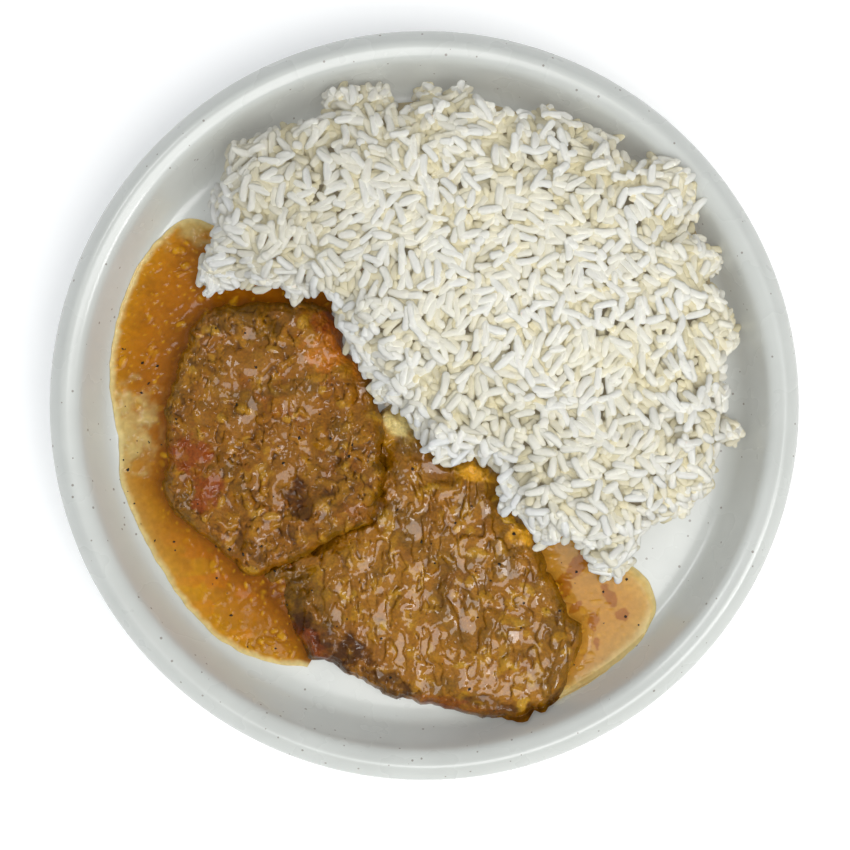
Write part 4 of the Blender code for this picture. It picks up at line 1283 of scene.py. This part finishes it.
def start_material(name, **sockets):
    """A material with its principled shader's constant sockets set."""
    made = bpy.data.materials.new(name)
    made.use_nodes = True
    shader = made.node_tree.nodes["Principled BSDF"]
    feed(made.node_tree, shader, {label.replace("_", " "): value
                                  for label, value in sockets.items()})
    return made, made.node_tree, shader


def tint_by(tree, source, value, low, high):
    """Multiply a colour by an uneven grey from low to high."""
    spread = add_node(tree, "MapRange", {"Value": value, "To Min": low, "To Max": high})
    return add_node(tree, "VectorMath", {0: source, "Scale": spread["Result"]},
                    operation="SCALE")["Vector"]


def upward_normal(tree, share):
    """A piece's normals turned part of the way up, as light that passes through evens out
    the shade across it."""
    shape = add_node(tree, "NewGeometry", {})
    raised = add_node(tree, "VectorMath", {0: shape["Normal"], 1: (1 - share,) * 3,
                                           2: (0, 0, share)}, operation="MULTIPLY_ADD")
    return add_node(tree, "VectorMath", {0: raised["Vector"]}, operation="NORMALIZE")["Vector"]


def tinted_material(name, mottle_scale, shade, roughness, bump, coat=None, upward=0.0, **sockets):
    """Finish of a food: its painted tint, mottled, with uneven roughness and fine bump."""
    made, tree, shader = start_material(name, **sockets)
    paint = add_node(tree, "Attribute", {}, attribute_name="tint")
    mottle = add_group(tree, "mottle", Scale=mottle_scale, Detail=3.0)
    relief = {"Height": mottle, "Strength": bump[0], "Distance": bump[1]}
    if upward:
        relief["Normal"] = upward_normal(tree, upward)
    feed(tree, shader, {
        "Base Color": tint_by(tree, paint["Color"], mottle, *shade),
        "Roughness": add_group(tree, "mottle", Scale=0.4 * mottle_scale, Low=roughness[0],
                               High=roughness[1]),
        "Normal": add_node(tree, "Bump", relief)["Normal"]})
    if coat:
        wet = add_node(tree, "MapRange", {"Value": paint["Alpha"], "To Min": coat[0],
                                          "To Max": coat[1]})
        feed(tree, shader, {"Coat Weight": wet["Result"]})
    return made


def plate_material():
    """Off-white glaze: faint mottling, fine dark specks, an uneven semi-gloss, and a faint
    painted glow that lifts its shade.
    """
    made, tree, shader = start_material(
        "plate_glaze", Specular_IOR_Level=0.5, Coat_Weight=0.3, Coat_Roughness=0.12,
        Emission_Color=(1.0, 0.99, 0.95, 1.0), Emission_Strength=0.12)
    glaze_tone = add_node(tree, "Mix", {
        "Factor": add_group(tree, "mottle", Scale=55.0, Detail=4.0),
        "A": (*tone(180, 183, 178), 1), "B": (*tone(187, 190, 185), 1)}, data_type="RGBA")
    dark = add_node(tree, "Math", {0: add_group(tree, "specks", Scale=255.0, Size=0.13),
                                   1: add_group(tree, "specks", Scale=110.0, Size=0.055)},
                    operation="MAXIMUM")
    soft = add_node(tree, "Math", {0: dark["Value"], 1: 0.75}, operation="MULTIPLY")
    speckled = add_node(tree, "Mix", {"Factor": soft["Value"], "A": glaze_tone["Result"],
                                      "B": (*tone(92, 76, 60), 1)}, data_type="RGBA")
    ripple = add_node(tree, "Bump", {"Height": add_group(tree, "mottle", Scale=90.0, Detail=2.0),
                                     "Strength": 0.03, "Distance": 0.0004})
    feed(tree, shader, {"Base Color": speckled["Result"], "Normal": ripple["Normal"],
                        "Roughness": add_group(tree, "mottle", Scale=40.0, Low=0.24, High=0.32)})
    return made


def floor_material():
    """Pale matt floor with a faint glow and hardly any mottling."""
    made, tree, shader = start_material(
        "pale_floor", Roughness=0.9, Specular_IOR_Level=0.1, Emission_Color=(1, 1, 1, 1),
        Emission_Strength=0.2)
    base = add_node(tree, "RGB", {})["Color"]
    base.default_value = (0.93, 0.93, 0.93, 1)
    mottle = add_group(tree, "mottle", Scale=6.0)
    feed(tree, shader, {"Base Color": tint_by(tree, base, mottle, 0.99, 1.0)})
    return made


def make_floor():
    """A level square, wide enough to fill the picture, just under the foot ring."""
    reach = 4.0 / MM
    corners = np.array([(-1, -1), (1, -1), (1, 1), (-1, 1)]) * reach
    floor = build_mesh("floor", np.column_stack([corners, np.full(4, -0.2)]),
                       [np.array([[0, 1, 2, 3]])])
    floor.data.materials.append(floor_material())


# Lamps aimed at the plate's middle: place, side and power, colour, and what they light.
# A broad key at the right front, an even ceiling, a sheen on what is wet and two glints.
LAMPS = {
    "key": ((0.56, -0.36, 1.05), 0.95, 8.6, (1.0, 0.985, 0.95), "diffuse"),
    "ceiling": ((-0.3, -0.45, 1.05), 2.2, 9.4, (0.98, 1.0, 1.0), "diffuse"),
    "sheen": ((0.20, -0.36, 1.0), 0.66, 5.8, (1.0, 1.0, 1.0), "glossy"),
    "glint_right": ((0.75, -0.35, 0.95), 0.3, 3.0, (1.0, 1.0, 1.0), "glossy"),
    "glint_left": ((-0.5, 0.4, 1.1), 0.25, 1.6, (1.0, 1.0, 1.0), "glossy"),
}


def light_scene():
    """Soft studio light: square lamps and a pale surround."""
    world = bpy.data.worlds.new("surround")
    bpy.context.scene.world = world
    world.use_nodes = True
    feed(world.node_tree, world.node_tree.nodes["Background"],
         {"Color": (0.935, 0.98, 1.05, 1), "Strength": 0.395})
    for name, (place, size, energy, colour, part) in LAMPS.items():
        light = bpy.data.lights.new(name, "AREA")
        light.shape = "SQUARE"
        light.size = size
        light.energy = energy
        light.color = colour
        lamp = bpy.data.objects.new(name, light)
        lamp.location = place
        lamp.rotation_euler = (-Vector(place)).to_track_quat("-Z", "Y").to_euler()
        lamp.visible_glossy = part == "glossy"
        lamp.visible_diffuse = part == "diffuse"
        bpy.context.scene.collection.objects.link(lamp)
    bpy.context.scene.view_settings.view_transform = "Standard"
    bpy.context.scene.view_settings.look = "None"


def add_camera():
    """The camera looks straight down, so it isn't turned."""
    lens = bpy.data.cameras.new("camera")
    lens.sensor_width = 36.0
    lens.lens = CAMERA_LENS
    lens.clip_start = 0.01
    camera = bpy.data.objects.new("camera", lens)
    camera.location = [value * MM for value in CAMERA_PLACE]
    bpy.context.scene.collection.objects.link(camera)
    bpy.context.scene.camera = camera


add_camera()
light_scene()
make_floor()

meat = tinted_material("sauced_pork", 1000.0, (0.82, 1.12), (0.3, 0.5), (0.5, 0.0003),
                       coat=(0.05, 1.0), Specular_IOR_Level=0.1, Coat_Roughness=0.035,
                       Subsurface_Weight=0.05, Subsurface_Scale=0.001)
sauce = tinted_material("wet_gravy", 500.0, (0.93, 1.06), (0.2, 0.3), (0.1, 0.0002),
                        Specular_IOR_Level=0.1, Coat_Weight=0.2, Coat_Roughness=0.04,
                        Subsurface_Weight=0.05, Subsurface_Scale=0.001)
# The grains carry a faint warm painted glow that lifts their shade
grain = tinted_material("boiled_grain", 500.0, (0.735, 0.785), (0.25, 0.4), (0.15, 0.0002),
                        upward=0.6, Specular_IOR_Level=0.5, Subsurface_Weight=0.8,
                        Emission_Color=(1.0, 0.92, 0.72, 1.0), Emission_Strength=0.085,
                        Subsurface_Scale=0.002, Subsurface_Radius=(1.0, 0.95, 0.8))
grain.node_tree.nodes["Principled BSDF"].subsurface_method = "BURLEY"
pepper = tinted_material("black_pepper", 1500.0, (0.5, 1.4), (0.4, 0.6), (0.6, 0.0003),
                         Specular_IOR_Level=0.4)

make_plate(plate_material())
right = make_slice("slice_right_sauced", "right", RIGHT_SLICE, right_form, RIGHT_MARKS, 0.85, 200,
                   meat, "pork_slice_right")
left = make_slice("slice_left_sauced", "left", LEFT_SLICE, left_form, LEFT_MARKS, 0.65, 100,
                  meat, "pork_slice_left")
pool_left = make_pool("gravy_pool_left", "left", GRAVY_LEFT, GRAVY_LEFT_INNER, 500, 110, 300,
                      [left, right], sauce, "gravy_left")
pool_right = make_pool("gravy_pool_right", "right", GRAVY_RIGHT, GRAVY_RIGHT_INNER, 240, 100, 400,
                       [left, right], sauce, "gravy_right")
make_rice(grain, [pool_left, pool_right, left, right])
make_pepper(pepper, pepper_places([left, right, pool_left, pool_right]))
